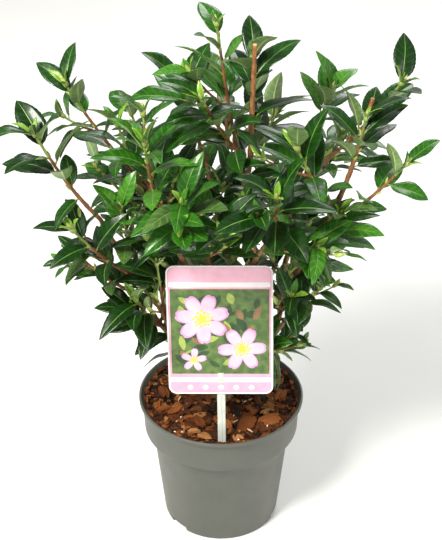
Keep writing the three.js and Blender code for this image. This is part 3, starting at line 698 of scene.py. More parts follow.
def add_veins(material, colour):
    """Thin pale lines along a blade's veins, laid over a finish."""
    where = add_node(material, "TexCoord", {}, "UV")
    away = add_node(material, "SeparateXYZ", {"Vector": where}, "X")
    for step, operand in (("FRACT", 0), ("SUBTRACT", 0.5), ("ABSOLUTE", 0)):
        away = add_node(material, "Math", {0: away, 1: operand}, "Value", operation=step)
    line = {"Value": away, "From Max": VEIN_WIDTH, "To Min": VEIN_STRENGTH, "To Max": 0.0}
    return overlay(material, add_node(material, "MapRange", line, "Result"), colour)


def leaf_materials():
    """The tints of the upper side, the underside, its rib, the upper side's rib, and the stalk."""
    made = []
    for name, dark, light in LEAF_TINTS:
        blade = procedural(name, dark, light, 9, (0.26, 0.4), 0.12, coat=0.14, shine=0.34)
        made.append(add_veins(blade, 1.25 * np.array(light) + 14))
    under = procedural("leaf_under", (98, 128, 72), (124, 150, 92), 8, (0.4, 0.52), 0.15)
    return made + [
        add_veins(under, (156, 180, 118)),
        procedural("leaf_under_rib", (166, 188, 124), (188, 206, 142), 6, (0.45, 0.55), 0.1),
        procedural("leaf_rib", (88, 128, 50), (118, 154, 72), 6, (0.35, 0.45), 0.1),
        procedural("leaf_stalk", (96, 118, 42), (130, 138, 62), 5, (0.4, 0.5), 0.1),
    ]


# ---------------------------------------------------------------- leaves
LEAF_ROWS = 22
YOUNG_ROWS = 12
LEAF_COLUMNS = np.array([-1, -0.68, -0.36, -0.035, 0, 0.035, 0.36, 0.68, 1])
UNDER_COLUMNS = np.array([-1, -0.52, -0.07, 0, 0.07, 0.52, 1])
BLADE_FROM = 0.11  # share of the leaf's length that is stalk
VEINS = 7
VEIN_LEAN = 0.16
VEIN_DEPTH = 0.24
TOOTH = 0.018
RIB_GROOVE = 0.3
TIP_DROOP = 0.1
TIP_FLATTER = 0.45
TWIST = 0.3
EDGE_WAVES = 1.4
WAVE_HEIGHT = 0.05  # as a share of the leaf's width
SLIM = 0.91  # the blade's width as a share of its room
SWAY = 0.1
ARCH_MORE = (0.9, 2.3)  # how much more than its room a blade arches
BLADE_THICK = 0.45
LABEL_BERTH = (9, 12)  # how near the label, at its sides and above it, a blade doesn't bend
STALK_THICK = 0.019  # as a share of the leaf's length


def blade_half_width(s):
    """Half width of the blade as a share, widest just before its middle, with a drawn-out tip."""
    return (4 * s * (1 - s)) ** 0.67 * (1.02 - 0.1 * (s - 0.5)) * (1 - 0.42 * s ** 7)


def blade_rows(leaf):
    """How many rows of corners a blade has."""
    return (YOUNG_ROWS if leaf.young else LEAF_ROWS) + 1


def blade_bend(leaf):
    """How far a blade bends below its room, as a share: not at all near the label or in front of it."""
    tip = leaf_point(leaf, 1, 0) - leaf.face * 0.2 * leaf.length
    turn, foot = label_matrix()
    x, y, z = (tip - foot) @ turn
    beside, above = LABEL_BERTH
    near = abs(x) < LABEL.card_width / 2 + beside and -LABEL.outlook < y < above
    top = LABEL.card_foot + LABEL.card_height + above + LABEL.outlook_rise * max(0, -y)
    return 0.0 if near and z < top else 1.0


def vein_pattern(leaf, columns):
    """Coordinates of a blade's veins, which leave its rib and run on towards its tip."""
    s = np.linspace(0, 1, blade_rows(leaf))[:, None]
    across = np.broadcast_to(columns, (blade_rows(leaf), len(columns)))
    return np.stack([VEINS * (s - VEIN_LEAN * np.abs(across)), across], axis=-1).reshape(-1, 2)


def blade_grid(leaf, columns, drop):
    """Corners of one side of the blade, row by row. Drop is how far it lies under the upper side."""
    rows = blade_rows(leaf)
    s = np.linspace(0, 1, rows)[:, None]
    across = np.broadcast_to(columns, (rows, len(columns)))
    teeth = 1 + TOOTH * np.where(np.arange(rows) % 2 == 0, -1, 1)[:, None] * (np.abs(across) == 1)
    half = blade_half_width(s) * teeth * SLIM * leaf.width / 2
    wave = math.tau * chance(leaf.seed, 1)
    along = BLADE_FROM + (1 - BLADE_FROM) * s
    twist = between(-TWIST, TWIST, leaf.seed, 2) * s
    sway = between(-SWAY, SWAY, leaf.seed, 3) * leaf.length * s * s
    rise = leaf.fold * half * np.abs(across) * (1 - TIP_FLATTER * s)
    waves = np.sin(math.tau * EDGE_WAVES * s + wave) * WAVE_HEIGHT * leaf.width
    rise += waves * across ** 2 * blade_half_width(s)
    bend = blade_bend(leaf)
    arch = leaf.arch * (1 + (between(*ARCH_MORE, leaf.seed, 5) - 1) * bend)
    rise -= arch * leaf.length * along ** 2 + TIP_DROOP * bend * leaf.length * s ** 4
    veins = np.cos(math.tau * VEINS * (s - VEIN_LEAN * np.abs(across)))
    rise -= VEIN_DEPTH * veins * np.sin(math.pi * np.abs(across))
    rise -= RIB_GROOVE * (across == 0) * (1 - s) + drop * (1 + (across == 0) * (1 - s))
    x = half * across
    out = (along * leaf.length)[..., None] * leaf.way
    out = out + (x * np.cos(twist) + sway)[..., None] * leaf.side
    out = out + (rise + x * np.sin(twist))[..., None] * leaf.face
    return (leaf.root + out).reshape(-1, 3)


def add_leaf(shape, leaf, tint):
    """The blade's upper side with its rib, its underside, its edge, and its stalk."""
    wide, narrow, rows = len(LEAF_COLUMNS), len(UNDER_COLUMNS), blade_rows(leaf)
    upper = blade_grid(leaf, LEAF_COLUMNS, 0)
    under = blade_grid(leaf, UNDER_COLUMNS, BLADE_THICK)
    faces = grid_faces(rows, wide)
    below = [face[::-1] for face in grid_faces(rows, narrow, start=len(upper))]
    slots = [RIB if is_rib(k, wide) else tint for k in range(len(faces))]
    slots += [UNDER_RIB if is_rib(k, narrow) else UNDER for k in range(len(below))]
    edge = []
    for row in range(rows - 1):
        a, b = row * wide, len(upper) + row * narrow
        edge.append((a, a + wide, b + narrow, b))
        a, b = a + wide - 1, b + narrow - 1
        edge.append((a + wide, a, b, b + narrow))
    pattern = np.concatenate([vein_pattern(leaf, LEAF_COLUMNS), vein_pattern(leaf, UNDER_COLUMNS)])
    shape.add(np.concatenate([upper, under]), faces + below + edge, slots + [tint] * len(edge), pattern)
    add_stalk(shape, leaf)


def is_rib(k, columns):
    """Whether face number k lies beside the middle column of a blade's grid."""
    return k % (columns - 1) in (columns // 2 - 1, columns // 2)


def add_stalk(shape, leaf):
    """The stalk from the shoot's middle to the blade's foot."""
    foot = leaf.root
    end = leaf_point(leaf, BLADE_FROM + 0.05, 0, -0.5 * BLADE_THICK)
    line = Bezier(foot, foot + (end - foot) * 0.3 - UP * 0.3, foot + (end - foot) * 0.7 - UP * 0.3, end)
    thick = STALK_THICK * leaf.length
    tube(shape, line, taper((thick, thick * 0.8)), 6, 4, lambda t: STALK)


def young_leaves(shoot, seed):
    """Small upright leaves at a shoot's tip."""
    tip, tangent = shoot.curve.point(1), shoot.curve.tangent(1)
    leaves = []
    for i in range(YOUNG.leaves):
        out = turned(across_frame(tangent), math.tau * (i / YOUNG.leaves + chance(seed, 31)))
        way = unit(tangent + out * between(0.3, 0.8, seed, i, 32) + UP * 0.2)
        length = YOUNG.length * between(0.6, 1.2, seed, i, 33)
        leaves.append(new_leaf(
            tip - tangent * YOUNG.sunk, way, unit(-out + tangent * 0.4), length=length,
            width=length * YOUNG.aspect, arch=YOUNG.arch, fold=YOUNG.fold,
            seed=(seed * 13 + i) % LEAF_SEEDS, young=True,
        ))
    return leaves


def leaf_tint(leaf, spray_seed):
    """A spray has one main tint, and some of its leaves the next one."""
    if leaf.young:
        return YOUNG_TINT if chance(leaf.seed, 41) < 0.7 else FRESH
    main = int(chance(spray_seed, 42) * MAIN_TINTS)
    step = chance(leaf.seed, 43)
    return main + (step > 0.6) if step < 0.9 else GREY


# ---------------------------------------------------------------- buds
def add_bud(shape, root, way, size, seed):
    """A pointed bud wrapped in scales."""
    rings, sides, scales, across = BUD.rings, BUD.sides, BUD.scales, across_frame(way)
    length, radius = BUD.length * size, BUD.radius * size
    corners = []
    for i in range(rings + 1):
        t = i / rings
        girth = math.sin(math.pi * min(1, 0.12 + t * 0.88) ** 0.75) ** 0.8 * (1 - 0.25 * t)
        scale = 1 + 0.13 * (1 - (t * scales) % 1)
        for k in range(sides):
            angle = math.tau * k / sides
            lap = 1 + 0.08 * math.cos(3 * angle + 2.1 * int(t * scales) + seed)
            corners.append(root + way * length * t + turned(across, angle) * radius * girth * scale * lap)
    faces = grid_faces(rings + 1, sides, closed=True) + [tuple(reversed(range(sides)))]
    shape.add(corners, faces, [int(k // sides >= rings * 3 // 4) for k in range(len(faces))])


def add_buds(shape, shoot, seed):
    """A bud or three at a shoot's tip, and some where leaves leave it."""
    curve, key = shoot.curve, shoot.index
    tip, way = curve.point(1), curve.tangent(1)
    add_bud(shape, tip - way * BUD.sunk, way, between(0.8, 1.25, seed, key, 51), seed)
    places = [(1, k) for k in range(int(chance(seed, key, 52) * 3))]
    places += [((i + 1) / shoot.leaves, i + 3) for i in range(shoot.leaves - 1)
               if chance(seed, key, i, 53) < BUD.on_axil]
    for share, k in places:
        tangent = curve.tangent(leaf_place(share))
        out = turned(across_frame(tangent), math.tau * chance(seed, key, k, 54))
        toward = unit(tangent + out * 0.7 + UP * 0.2)
        add_bud(shape, curve.point(leaf_place(share)), toward, between(0.45, 0.75, seed, key, k, 55), k)


# ---------------------------------------------------------------- the plant's pieces
RING_WIDTH = 1.4
LIMB_STEP = 1.6


def knuckles(spacing, height, seed):
    """Growth rings along a limb: how much thicker it is at a distance from its foot."""
    def swell(distance):
        phase = distance / spacing + chance(seed, 61)
        near = abs(phase - round(phase)) * spacing
        return 1 + height * math.exp(-(near / RING_WIDTH) ** 2)
    return swell


def make_limbs(limbs):
    """The trunk and boughs with the relief of their bark."""
    shape = Shape()
    for index, (name, limb) in enumerate(limbs.items()):
        sides, relief, collar = (36, 0.5, 0.0) if name == "trunk" else (16, 0.3, 0.5)
        ring = knuckles(between(16, 26, index, 62), 0.14, index)
        tube(
            shape, limb.curve, limb.radius_at, sides, int(limb.curve.length() / LIMB_STEP), lambda t: 0,
            relief, index, lambda d: ring(d) + collar * math.exp(-max(0, d - 3) / 5),
        )
    bark = procedural("bark", (88, 60, 36), (150, 116, 76), 4, (0.62, 0.85), 0.9, (1, 1, 0.3))
    shape.build("shrub_limbs", [bark], "bark", ["trunk"] + ["bough_" + name for name in BOUGHS])


def make_stubs(limbs, sides=16):
    """Bare stems with a flat, pale cut across their end."""
    shape = Shape()
    for index, (bough, share, end, radii) in enumerate(STUBS):
        line = growth_curve(limbs[bough].curve.point(share), end, 0.1)
        steps = int(line.length() / LIMB_STEP)
        tube(
            shape, line, taper(radii), sides, steps, lambda t: 0, 0.3, index, knuckles(13, 0.16, index)
        )
        across = across_frame(line.tangent(1))
        rim = [turned(across, math.tau * k / sides) * radii[1] for k in range(sides)]
        cut = [line.point(1) + line.tangent(1) * height + out * wide
               for height, wide in ((0, 1.05), (1.4, 1.0)) for out in rim]
        end_face = tuple(range(sides, 2 * sides))
        shape.add(cut, grid_faces(2, sides, closed=True) + [end_face], [0] * sides + [1])
    bark = procedural("stub_bark", (88, 50, 24), (168, 112, 60), 3, (0.6, 0.8), 0.9, (1, 1, 0.16))
    wood = procedural("stub_wood", (176, 142, 98), (208, 178, 132), 1, (0.7, 0.85), 0.3)
    shape.build("pruned_stubs", [bark, wood], "bark")


def make_twigs(sprays):
    """Stems, side shoots and fine twigs: brown wood that turns green towards its tip."""
    shape = Shape()
    for spray in sprays:
        for shoot in spray.shoots + spray.fine:
            key = spray.seed * 11 + shoot.index
            sides, first, last = (7, 0.3, 0.8) if shoot.fine else (10, 0.55, 0.95)
            green_from = between(first, last, key, 63)
            tube(
                shape, shoot.curve, shoot.radius_at, sides, max(8, int(shoot.curve.length() / 2)),
                lambda t: int(t > green_from), 0.16, key, knuckles(between(9, 14, key, 64), 0.22, key),
            )
    brown = procedural("twig_brown", (88, 52, 26), (148, 98, 54), 3, (0.5, 0.7), 0.4, (1, 1, 0.22))
    green = procedural("twig_green", (96, 118, 48), (132, 150, 70), 4, (0.45, 0.6), 0.2, (1, 1, 0.35))
    shape.build("shrub_twigs", [brown, green], "bark")


def make_leaves(sprays):
    """The leaves in four joined pieces, each of which stands for the masses on its side."""
    sides = {"front": [], "left": [], "right": [], "back": []}
    for spray in sprays:
        sides[side_of(spray)].append(spray)
    materials = leaf_materials()
    for side, members in sides.items():
        shape = Shape()
        for spray in members:
            leaves = list(spray.leaves)
            for shoot in spray.shoots + spray.fine:
                if not shoot.fine or chance(spray.seed, shoot.index, 71) < YOUNG.on_fine:
                    leaves += young_leaves(shoot, spray.seed * 17 + shoot.index)
            for leaf in leaves:
                add_leaf(shape, leaf, leaf_tint(leaf, spray.seed))
        replaced = ["foliage_" + spray.name for spray in members if spray.shoots]
        shape.build("shrub_leaves_" + side, materials, "foliage", replaced)


def side_of(spray):
    """The side of the crown that a spray's leaves are on."""
    x, y, _ = np.mean([leaf.root for leaf in spray.leaves] or [np.zeros(3)], axis=0)
    if y > 45:
        return "back"
    if abs(x) < 48:
        return "front"
    return "left" if x < 0 else "right"


def make_buds(sprays):
    """The buds of all the shoots, green with a paler tip."""
    shape = Shape()
    for spray in sprays:
        for shoot in spray.shoots + spray.fine:
            add_buds(shape, shoot, spray.seed)
    scale = procedural("bud_scale", (126, 150, 62), (168, 186, 96), 3, (0.35, 0.5), 0.15)
    tip = procedural("bud_tip", (150, 160, 84), (196, 178, 124), 3, (0.35, 0.5), 0.15)
    shape.build("shrub_buds", [scale, tip], "foliage")


# ---------------------------------------------------------------- the pot
POT_STEP = POT.height - POT.collar_height
EDGE_ROUND = 2.4  # of the foot and of the collar
COLLAR_FILLET = 4.2
LIP_FILLET = 0.9
LIP_ROUND = 1
RIM_ROUND = 0.6
INNER_ROWS = 7  # rows of the profile that go down the inner wall, which is coloured a darker grey as painted shade


def pot_outer(z):
    """Outer radius of the pot at a height, without its lip."""
    if z > POT_STEP:
        share = (z - POT_STEP) / POT.collar_height
        return POT.collar_foot_radius + (POT.collar_top_radius - POT.collar_foot_radius) * share
    return POT.base_radius + (POT.step_radius - POT.base_radius) * z / POT_STEP


def circle(radius, z, sides):
    """Points of a level circle."""
    turns = [math.tau * k / sides for k in range(sides)]
    return [(radius * math.cos(angle), radius * math.sin(angle), z) for angle in turns]


def arc(centre, radius, start, end, steps=6):
    """Points of an arc in a profile, with its angles in degrees."""
    angles = [math.radians(start + (end - start) * k / steps) for k in range(steps + 1)]
    return [(centre[0] + radius * math.cos(a), centre[1] + radius * math.sin(a)) for a in angles]


def pot_profile():
    """The pot's section from the middle of its underside, up its outside, and down its inside."""
    height, rim, step, base = POT.height, POT.rim_radius, POT_STEP, POT.base_radius
    lip, notch = height - POT.lip_height, POT.notch_height
    points = [(0, 0.8), (base - 9, 0.8), (base - 8, 0)]
    points += arc((base - EDGE_ROUND, EDGE_ROUND), EDGE_ROUND, -90, -6)
    points += [(pot_outer(z), z) for z in (notch - 0.1, notch + 0.4, 12, 30, 60, 90, step - 9)]
    points += arc((pot_outer(step) + COLLAR_FILLET, step - 6.6), COLLAR_FILLET, 180, 100)
    points += arc((POT.collar_foot_radius - EDGE_ROUND, step + 0.2), EDGE_ROUND, -80, 0)
    points += [(pot_outer(z), z) for z in (step + 6, step + 20)]
    points += arc((pot_outer(lip) + LIP_FILLET, lip - LIP_FILLET), LIP_FILLET, 180, 90, 4)
    points += arc((rim - LIP_ROUND, lip + LIP_ROUND), LIP_ROUND, -90, 0, 4)
    points += arc((rim - LIP_ROUND, height - LIP_ROUND), LIP_ROUND, 0, 90, 4)
    points += arc((rim - POT.wall + RIM_ROUND, height - RIM_ROUND), RIM_ROUND, 90, 180, 4)
    inner = (lip - 1, step + 20, step + 1, step - 4, GROUND - 60, POT.floor + 1)
    return points + [(pot_outer(z) - POT.wall, z) for z in inner] + [(0, POT.floor)]


def in_notch(angle):
    """Whether one of the foot's drain notches lies at an angle."""
    half = POT.notch_width / 2 / POT.base_radius
    turns = [POT.notch_angle + math.tau * k / POT.notches for k in range(POT.notches)]
    return any(abs((angle - turn + math.pi) % math.tau - math.pi) < half for turn in turns)


def make_pot():
    """The pot with its lip, its filleted collar and the drain notches in its foot."""
    shape, profile, sides = Shape(), pot_profile(), POT.sides
    corners = []
    for radius, z in profile:
        for k in range(sides):
            angle = math.tau * k / sides
            inset = POT.notch_depth if in_notch(angle) and z < POT.notch_height and radius > 40 else 0
            corners.append(((radius - inset) * math.cos(angle), (radius - inset) * math.sin(angle), z))
    faces = grid_faces(len(profile), sides, closed=True)
    inside = (len(profile) - INNER_ROWS) * sides
    shape.add(corners, faces, [int(k >= inside) for k in range(len(faces))])
    # the inner wall takes a darker grey than the outside: painted shade where the rim and the crown shade
    # it
    inner_wall_painted_shade = procedural("pot_inside_painted_shade", (52, 52, 46), (70, 70, 62), 12, (0.6, 0.75), 0.2)
    shape.build("pot_shell", [pot_material(), inner_wall_painted_shade], "pot", ["pot"])


def pot_material():
    """Recycled grey plastic, with faint flow mottling and fine upright scuffs."""
    material = procedural("pot_grey", (76, 78, 71), (82, 84, 77), 30, (0.4, 0.5), 0.12)
    where = add_node(material, "TexCoord", {}, "Object")
    upright = add_node(material, "Mapping", {"Vector": where, "Scale": (1, 1, 0.06)}, "Vector")
    scuffs = add_node(material, "TexNoise", {"Vector": upright, "Scale": 900, "Detail": 3}, "Fac")
    share = add_ramp(material, scuffs, ((0, 0, 0, 1), (0.22, 0.22, 0.22, 1)), (0.66, 0.78))
    return overlay(material, share, (146, 146, 136))


# ---------------------------------------------------------------- the bark mulch
MULCH_HEAP = 9
RIM_CHIPS = 84
CRUMBS = 700
PERLITE = 34
SPLINTERS = 16
# The layers of flakes: how many, the longest, and how high they lie.
CHIP_LAYERS = [(420, 14, -0.5), (210, 23, 1.2)]
# The larger flakes that lie on top: place, length, width and turn.
BIG_FLAKES = [
    (26, -42, 27, 17, 1.2), (50, -36, 28, 15, 0.3), (-22, -38, 19, 11, 2.2), (-48, -18, 22, 10, 0.7),
    (-60, 8, 20, 11, 1.9), (62, 2, 21, 12, 1.2), (14, 58, 25, 14, 0.5), (-30, 50, 24, 12, 2.6),
]
CHIP_TINTS = [
    ((34, 15, 4), (68, 31, 10)), ((54, 25, 7), (96, 49, 18)), ((72, 35, 10), (122, 66, 26)),
    ((92, 48, 16), (148, 86, 38)), ((122, 76, 36), (178, 126, 74)), ((18, 9, 3), (36, 18, 7)),
]
DARKEST = 5
FLAKE = Values(
    bow=0.8, skew=0.35, ragged=0.4, pinch=(0.1, 0.62), chipped=0.12, ridges=0.4, bumps=0.12,
    grain_along=0.02, grain_across=0.2,
)


def mulch_top(x, y):
    """Height of the bed under the chips: lumpy, and heaped up towards the pot's wall."""
    away = math.hypot(x, y) / POT.collar_foot_radius
    lumps = noise.noise(Vector((x * 0.055, y * 0.055, 3))) * 3.2
    clods = noise.noise(Vector((x * 0.19, y * 0.19, 7))) * 1.6
    return GROUND - 2.2 + lumps + clods + MULCH_HEAP * away ** 6


def make_bed(rings=44, spokes=120):
    """The potting mix, up to the wall of the pot."""
    shape, corners = Shape(), []
    for i in range(rings + 1):
        for x, y, _ in circle((pot_outer(GROUND) - POT.wall - 0.2) * (i / rings), 0, spokes):
            crumbs = 1.1 * noise.noise(Vector((x * 0.6, y * 0.6, 1)))
            corners.append((x, y, mulch_top(x, y) + crumbs))
    for z in (POT_STEP - 4, POT.notch_height + 2):
        corners += circle(pot_outer(z) - POT.wall - 0.3, z, spokes)
    faces = grid_faces(rings + 3, spokes, closed=True)
    faces.append(tuple(range((rings + 2) * spokes, (rings + 3) * spokes)))
    shape.add(corners, [face[::-1] for face in faces])
    soil = procedural("soil", (34, 20, 12), (74, 44, 26), 3, (0.85, 1.0), 1.2)
    shape.build("potting_bed", [soil], "potting_mix", ["potting_mix"])


def chip_block(length, width, thick, seed, along=6, lanes=6):
    """A flake of bark about its own middle, ridged along its grain, with ragged ends.

    Gives its corners, its faces and the coordinates of its grain.
    """
    corners, uvs = [], []
    bow = between(-FLAKE.bow, FLAKE.bow, seed, 84)
    skew = between(-FLAKE.skew, FLAKE.skew, seed, 86)
    pinched = between(*FLAKE.pinch, seed, 87)
    for layer in (1, -1):
        for i in range(along):
            for j in range(lanes):
                u, v = i / (along - 1) * 2 - 1, j / (lanes - 1) * 2 - 1
                reach = 1 - FLAKE.ragged * chance(seed, j, 81 + (u > 0)) * u * u
                pinch = 1 - pinched * u * u - FLAKE.chipped * chance(seed, i, 88)
                ridge = between(-FLAKE.ridges, FLAKE.ridges, seed, j, 82)
                ridge += between(-FLAKE.bumps, FLAKE.bumps, seed, i, j, 83)
                z = thick * (0.5 * layer + ridge + bow * (u * u - 0.4))
                x = (u * reach + skew * v * width / length) * length / 2
                corners.append((x, v * width / 2 * pinch, z))
                shift = 10 * chance(seed, 85)
                uvs.append((u * length * FLAKE.grain_along + shift, v * width * FLAKE.grain_across))
    top = grid_faces(along, lanes)
    bottom = [face[::-1] for face in grid_faces(along, lanes, start=along * lanes)]
    rim = [i * lanes for i in range(along)] + [(along - 1) * lanes + j for j in range(1, lanes)]
    rim += [i * lanes + lanes - 1 for i in range(along - 2, -1, -1)] + list(range(lanes - 2, 0, -1))
    around = [(a, b, b + along * lanes, a + along * lanes) for a, b in zip(rim, rim[1:] + rim[:1])]
    return np.array(corners), [face[::-1] for face in top + bottom + around], uvs


def scattered(count, seed, inner, outer):
    """Places spread evenly over the mulch, with a little disorder."""
    for i in range(count):
        angle = i * GOLDEN_ANGLE + between(-0.4, 0.4, seed, i, 91)
        radius = inner + (outer - inner) * math.sqrt((i + 0.5) / count)
        yield i, radius * math.cos(angle) + TRUNK.foot[0] * 0.3, radius * math.sin(angle)


def add_chip(shape, place, size, turn, seed, slot):
    """A flake with its length, width and thickness, turned and set in its place."""
    corners, faces, uvs = chip_block(*size, seed)
    shape.add(corners @ np.array(Euler(turn).to_matrix()).T + np.array(place), faces, slot, uvs)


def add_crumb(shape, x, y, size, seed):
    """A small angular bit of bark or peat."""
    lift = between(0.6, 2.6, seed, 131)
    corners = []
    for i, j, k in np.ndindex(2, 2, 2):
        wide, deep, tall = draws(132, (seed, i, j, k), (0.5, 1.5), (0.4, 1.4), (0.4, 1.2))
        corners.append((
            x + size * (i - 0.5) * wide * 2, y + size * (j - 0.5) * deep,
            mulch_top(x, y) + lift + size * (k - 0.5) * tall,
        ))
    faces = [(0, 1, 3, 2), (4, 6, 7, 5), (0, 4, 5, 1), (2, 3, 7, 6), (0, 2, 6, 4), (1, 5, 7, 3)]
    shape.add(corners, faces, (0, 1, 2, 3, DARKEST, DARKEST)[seed % 6])


def add_flakes(shape, layer, outer):
    """One layer of flakes, held within the wall and clear of the label's stick."""
    count, longest, up = CHIP_LAYERS[layer]
    tilt = 0.5 - 0.12 * layer
    for i, x, y in scattered(count, 7 + layer, 9, outer - 4 - 3 * layer):
        keys = (layer, i)
        length = longest * between(0.45, 1.15, *keys, 92)
        pull = min(1, (outer - 0.5 - length * 0.42) / math.hypot(x, y))
        x, y = x * pull, y * pull
        if math.hypot(x - LABEL.foot[0], y - LABEL.foot[1]) < 5 + length * 0.3:
            continue
        slim, thick = draws(93, keys, (0.3, 0.8), (1.0, 2.2))
        *turn, lift = draws(95, keys, (-tilt, tilt), (-tilt, tilt), (0, math.tau), (0, 1.6))
        shade = int(chance(*keys, 99) ** 1.3 * 5) if chance(*keys, 100) > 0.12 else DARKEST
        place = (x, y, mulch_top(x, y) + up + lift)
        add_chip(shape, place, (length, length * slim, thick), turn, layer * 1000 + i, shade)


def make_chips():
    """Flakes of bark in two layers, the lower ones small, and small ones along the wall."""
    shape = Shape()
    outer = pot_outer(GROUND) - POT.wall
    for layer in range(len(CHIP_LAYERS)):
        add_flakes(shape, layer, outer)
    for i in range(RIM_CHIPS):
        angle = math.tau * (i + chance(i, 121)) / RIM_CHIPS
        size = draws(123, (i,), (6, 12), (2.5, 5), (1.0, 1.8))
        roll, pitch, yaw, lift = draws(126, (i,), (-0.3, 0.3), (-0.2, 0.2), (-0.5, 0.5), (-1.4, 0.8))
        radius = outer - between(-1.4, 2.2, i, 122)
        place = (radius * math.cos(angle), radius * math.sin(angle), POT.height - POT.lip_height + lift)
        add_chip(shape, place, size, (roll, pitch, angle + math.pi / 2 + yaw), RIM_CHIP_SEED + i, i % 4)
    for i, x, y in scattered(CRUMBS, 9, 11, outer - 1.5):
        add_crumb(shape, x, y, between(1.0, 2.6, i, 135), i)
    for k, (x, y, length, width, turn) in enumerate(BIG_FLAKES):
        place = (x, y, mulch_top(x, y) + 5.5)
        add_chip(shape, place, (length, width, 2.4), (0.12, -0.1, turn), BIG_FLAKE_SEED + k, 2 + k % 2)
    materials = [
        procedural(f"bark_chip_{k}", dark, light, 0.22, (0.6, 0.85), 0.7, space="UV", shine=0.22)
        for k, (dark, light) in enumerate(CHIP_TINTS)
    ]
    shape.build("bark_chips", materials, "potting_mix", smooth=False)


def make_specks():
    """White perlite and pale splinters of wood."""
    shape = Shape()
    for i, x, y in scattered(PERLITE, 5, 16, 72):
        size, lift = draws(101, (i,), (1.2, 3.2), (1.4, 3.2))
        place = (x, y, mulch_top(x, y) + lift)
        add_chip(shape, place, (size, size * 0.8, size * 0.7), (i, 2 * i, 3 * i), i, 0)
    for i, x, y in scattered(SPLINTERS, 6, 20, 66):
        length, pitch, yaw = draws(103, (i,), (7, 16), (-0.35, 0.35), (0, math.tau))
        place = (x, y, mulch_top(x, y) + 4)
        add_chip(shape, place, (length, 1.3, 0.8), (0, pitch, yaw), i, 1 + i % 2)
    shape.build("mulch_specks", [
        procedural("perlite", (226, 222, 212), (244, 242, 236), 1, (0.8, 0.95), 0.3),
        procedural("splinter_pale", (186, 148, 108), (220, 190, 150), 1.5, (0.7, 0.85), 0.3),
        procedural("splinter_ruddy", (150, 84, 44), (186, 116, 66), 1.5, (0.7, 0.85), 0.3),
    ], "potting_mix", smooth=False)


# ---------------------------------------------------------------- the label
def rounded_outline(width, height, radius, foot, steps=8):
    """Outline of a plate with round corners, upright above its foot."""
    half = width / 2
    centres = [
        (half - radius, foot + radius, -90), (half - radius, foot + height - radius, 0),
        (-half + radius, foot + height - radius, 90), (-half + radius, foot + radius, 180),
    ]
    return [p for x, z, start in centres for p in arc((x, z), radius, start, start + 90, steps)]


def add_sheet(shape, outline, front, thick, slot):
    """A thin plate with the given outline. Its front lies at `front` along -Y of the label's own frame."""
    count = len(outline)
    corners = [(x, -front, z) for x, z in outline] + [(x, -front + thick, z) for x, z in outline]
    faces = [tuple(range(count)), tuple(reversed(range(count, 2 * count)))]
    faces += [((k + 1) % count, k, k + count, (k + 1) % count + count) for k in range(count)]
    shape.add(on_label(corners), faces, slot)


def set_on(centre, angle, points):
    """Points turned by an angle and moved to a centre."""
    c, s = math.cos(angle), math.sin(angle)
    return [(centre[0] + x * c - y * s, centre[1] + x * s + y * c) for x, y in points]


def petal(centre, angle, length, width, base=0.12, steps=24):
    """Outline of a broad petal with a slightly notched end."""
    points = []
    for k in range(steps + 1):
        t = math.pi * k / steps
        dent = 1 - 0.06 * math.exp(-((t - math.pi / 2) / 0.16) ** 2)
        out = length * (base + (1 - base) * math.sin(t) ** 0.7 * dent)
        points.append((out, width * math.cos(t) * math.sin(t) ** 0.25))
    return set_on(centre, angle, points)


def disc(centre, radius, steps=24):
    """Outline of a round spot of ink."""
    return [(centre[0] + x, centre[1] + y) for x, y, _ in circle(radius, 0, steps)]


def leaf_outline(centre, angle, length, width, steps=8):
    """Outline of a printed leaf."""
    shares = [(k / steps, 1) for k in range(steps + 1)] + [(1 - k / steps, -1) for k in range(steps + 1)]
    points = [((s - 0.5) * length, side * width / 2 * math.sin(math.pi * s) ** 0.8) for s, side in shares]
    return set_on(centre, angle, points)


PRINT_INKS = [
    ("ink_pink", (216, 150, 174), (224, 162, 186)), ("ink_white", (232, 228, 230), (238, 234, 236)),
    ("ink_field", (48, 76, 34), (92, 120, 52)), ("ink_leaf", (22, 50, 20), (44, 80, 30)),
    ("ink_petal", (206, 168, 190), (220, 188, 206)), ("ink_petal_edge", (192, 134, 178), (206, 154, 192)),
    ("ink_gold", (230, 180, 40), (242, 204, 78)), ("ink_olive", (128, 146, 60), (160, 176, 84)),
    ("ink_earth", (112, 84, 54), (144, 114, 76)), ("ink_blush", (236, 176, 198), (242, 188, 208)),
]
INK = {name: k for k, (name, _, _) in enumerate(PRINT_INKS)}
PRINTED_LEAVES = 60
LEAF_INKS = ("ink_leaf", "ink_leaf", "ink_olive", "ink_leaf", "ink_earth")
STAMENS = 22
# The printed blossoms: how far from the field's left or right middle line and its foot, size, petals, turn.
BLOSSOMS = [((-17, 59), 27, 7, 0.3), ((21, 27), 24, 6, 1.1), ((-26, 15), 13, 5, 0.2)]
LAYER = 0.03  # thickness of a layer of the print


def print_blossom(shape, centre, size, petals, turn, front):
    """A plain open flower: lilac edged petals round a golden eye."""
    add_sheet(shape, disc(centre, size * 0.32), front + 0.04, LAYER, INK["ink_petal"])
    for k in range(petals):
        angle = turn + math.tau * k / petals
        layer = front + 0.05 + 0.012 * (k % 3)
        add_sheet(shape, petal(centre, angle, size, size * 0.36), layer, 0.04, INK["ink_petal_edge"])
        inner = petal(centre, angle, size * 0.9, size * 0.31)
        add_sheet(shape, inner, layer + 0.04, LAYER, INK["ink_petal"])
    for k in range(STAMENS):
        angle, reach = k * GOLDEN_ANGLE, size * 0.34 * math.sqrt((k + 0.5) / STAMENS)
        place = (centre[0] + reach * math.cos(angle), centre[1] + reach * math.sin(angle))
        add_sheet(shape, disc(place, size * 0.055, 10), front + 0.15, LAYER, INK["ink_gold"])
    add_sheet(shape, disc(centre, size * 0.15, 16), front + 0.17, LAYER, INK["ink_gold"])


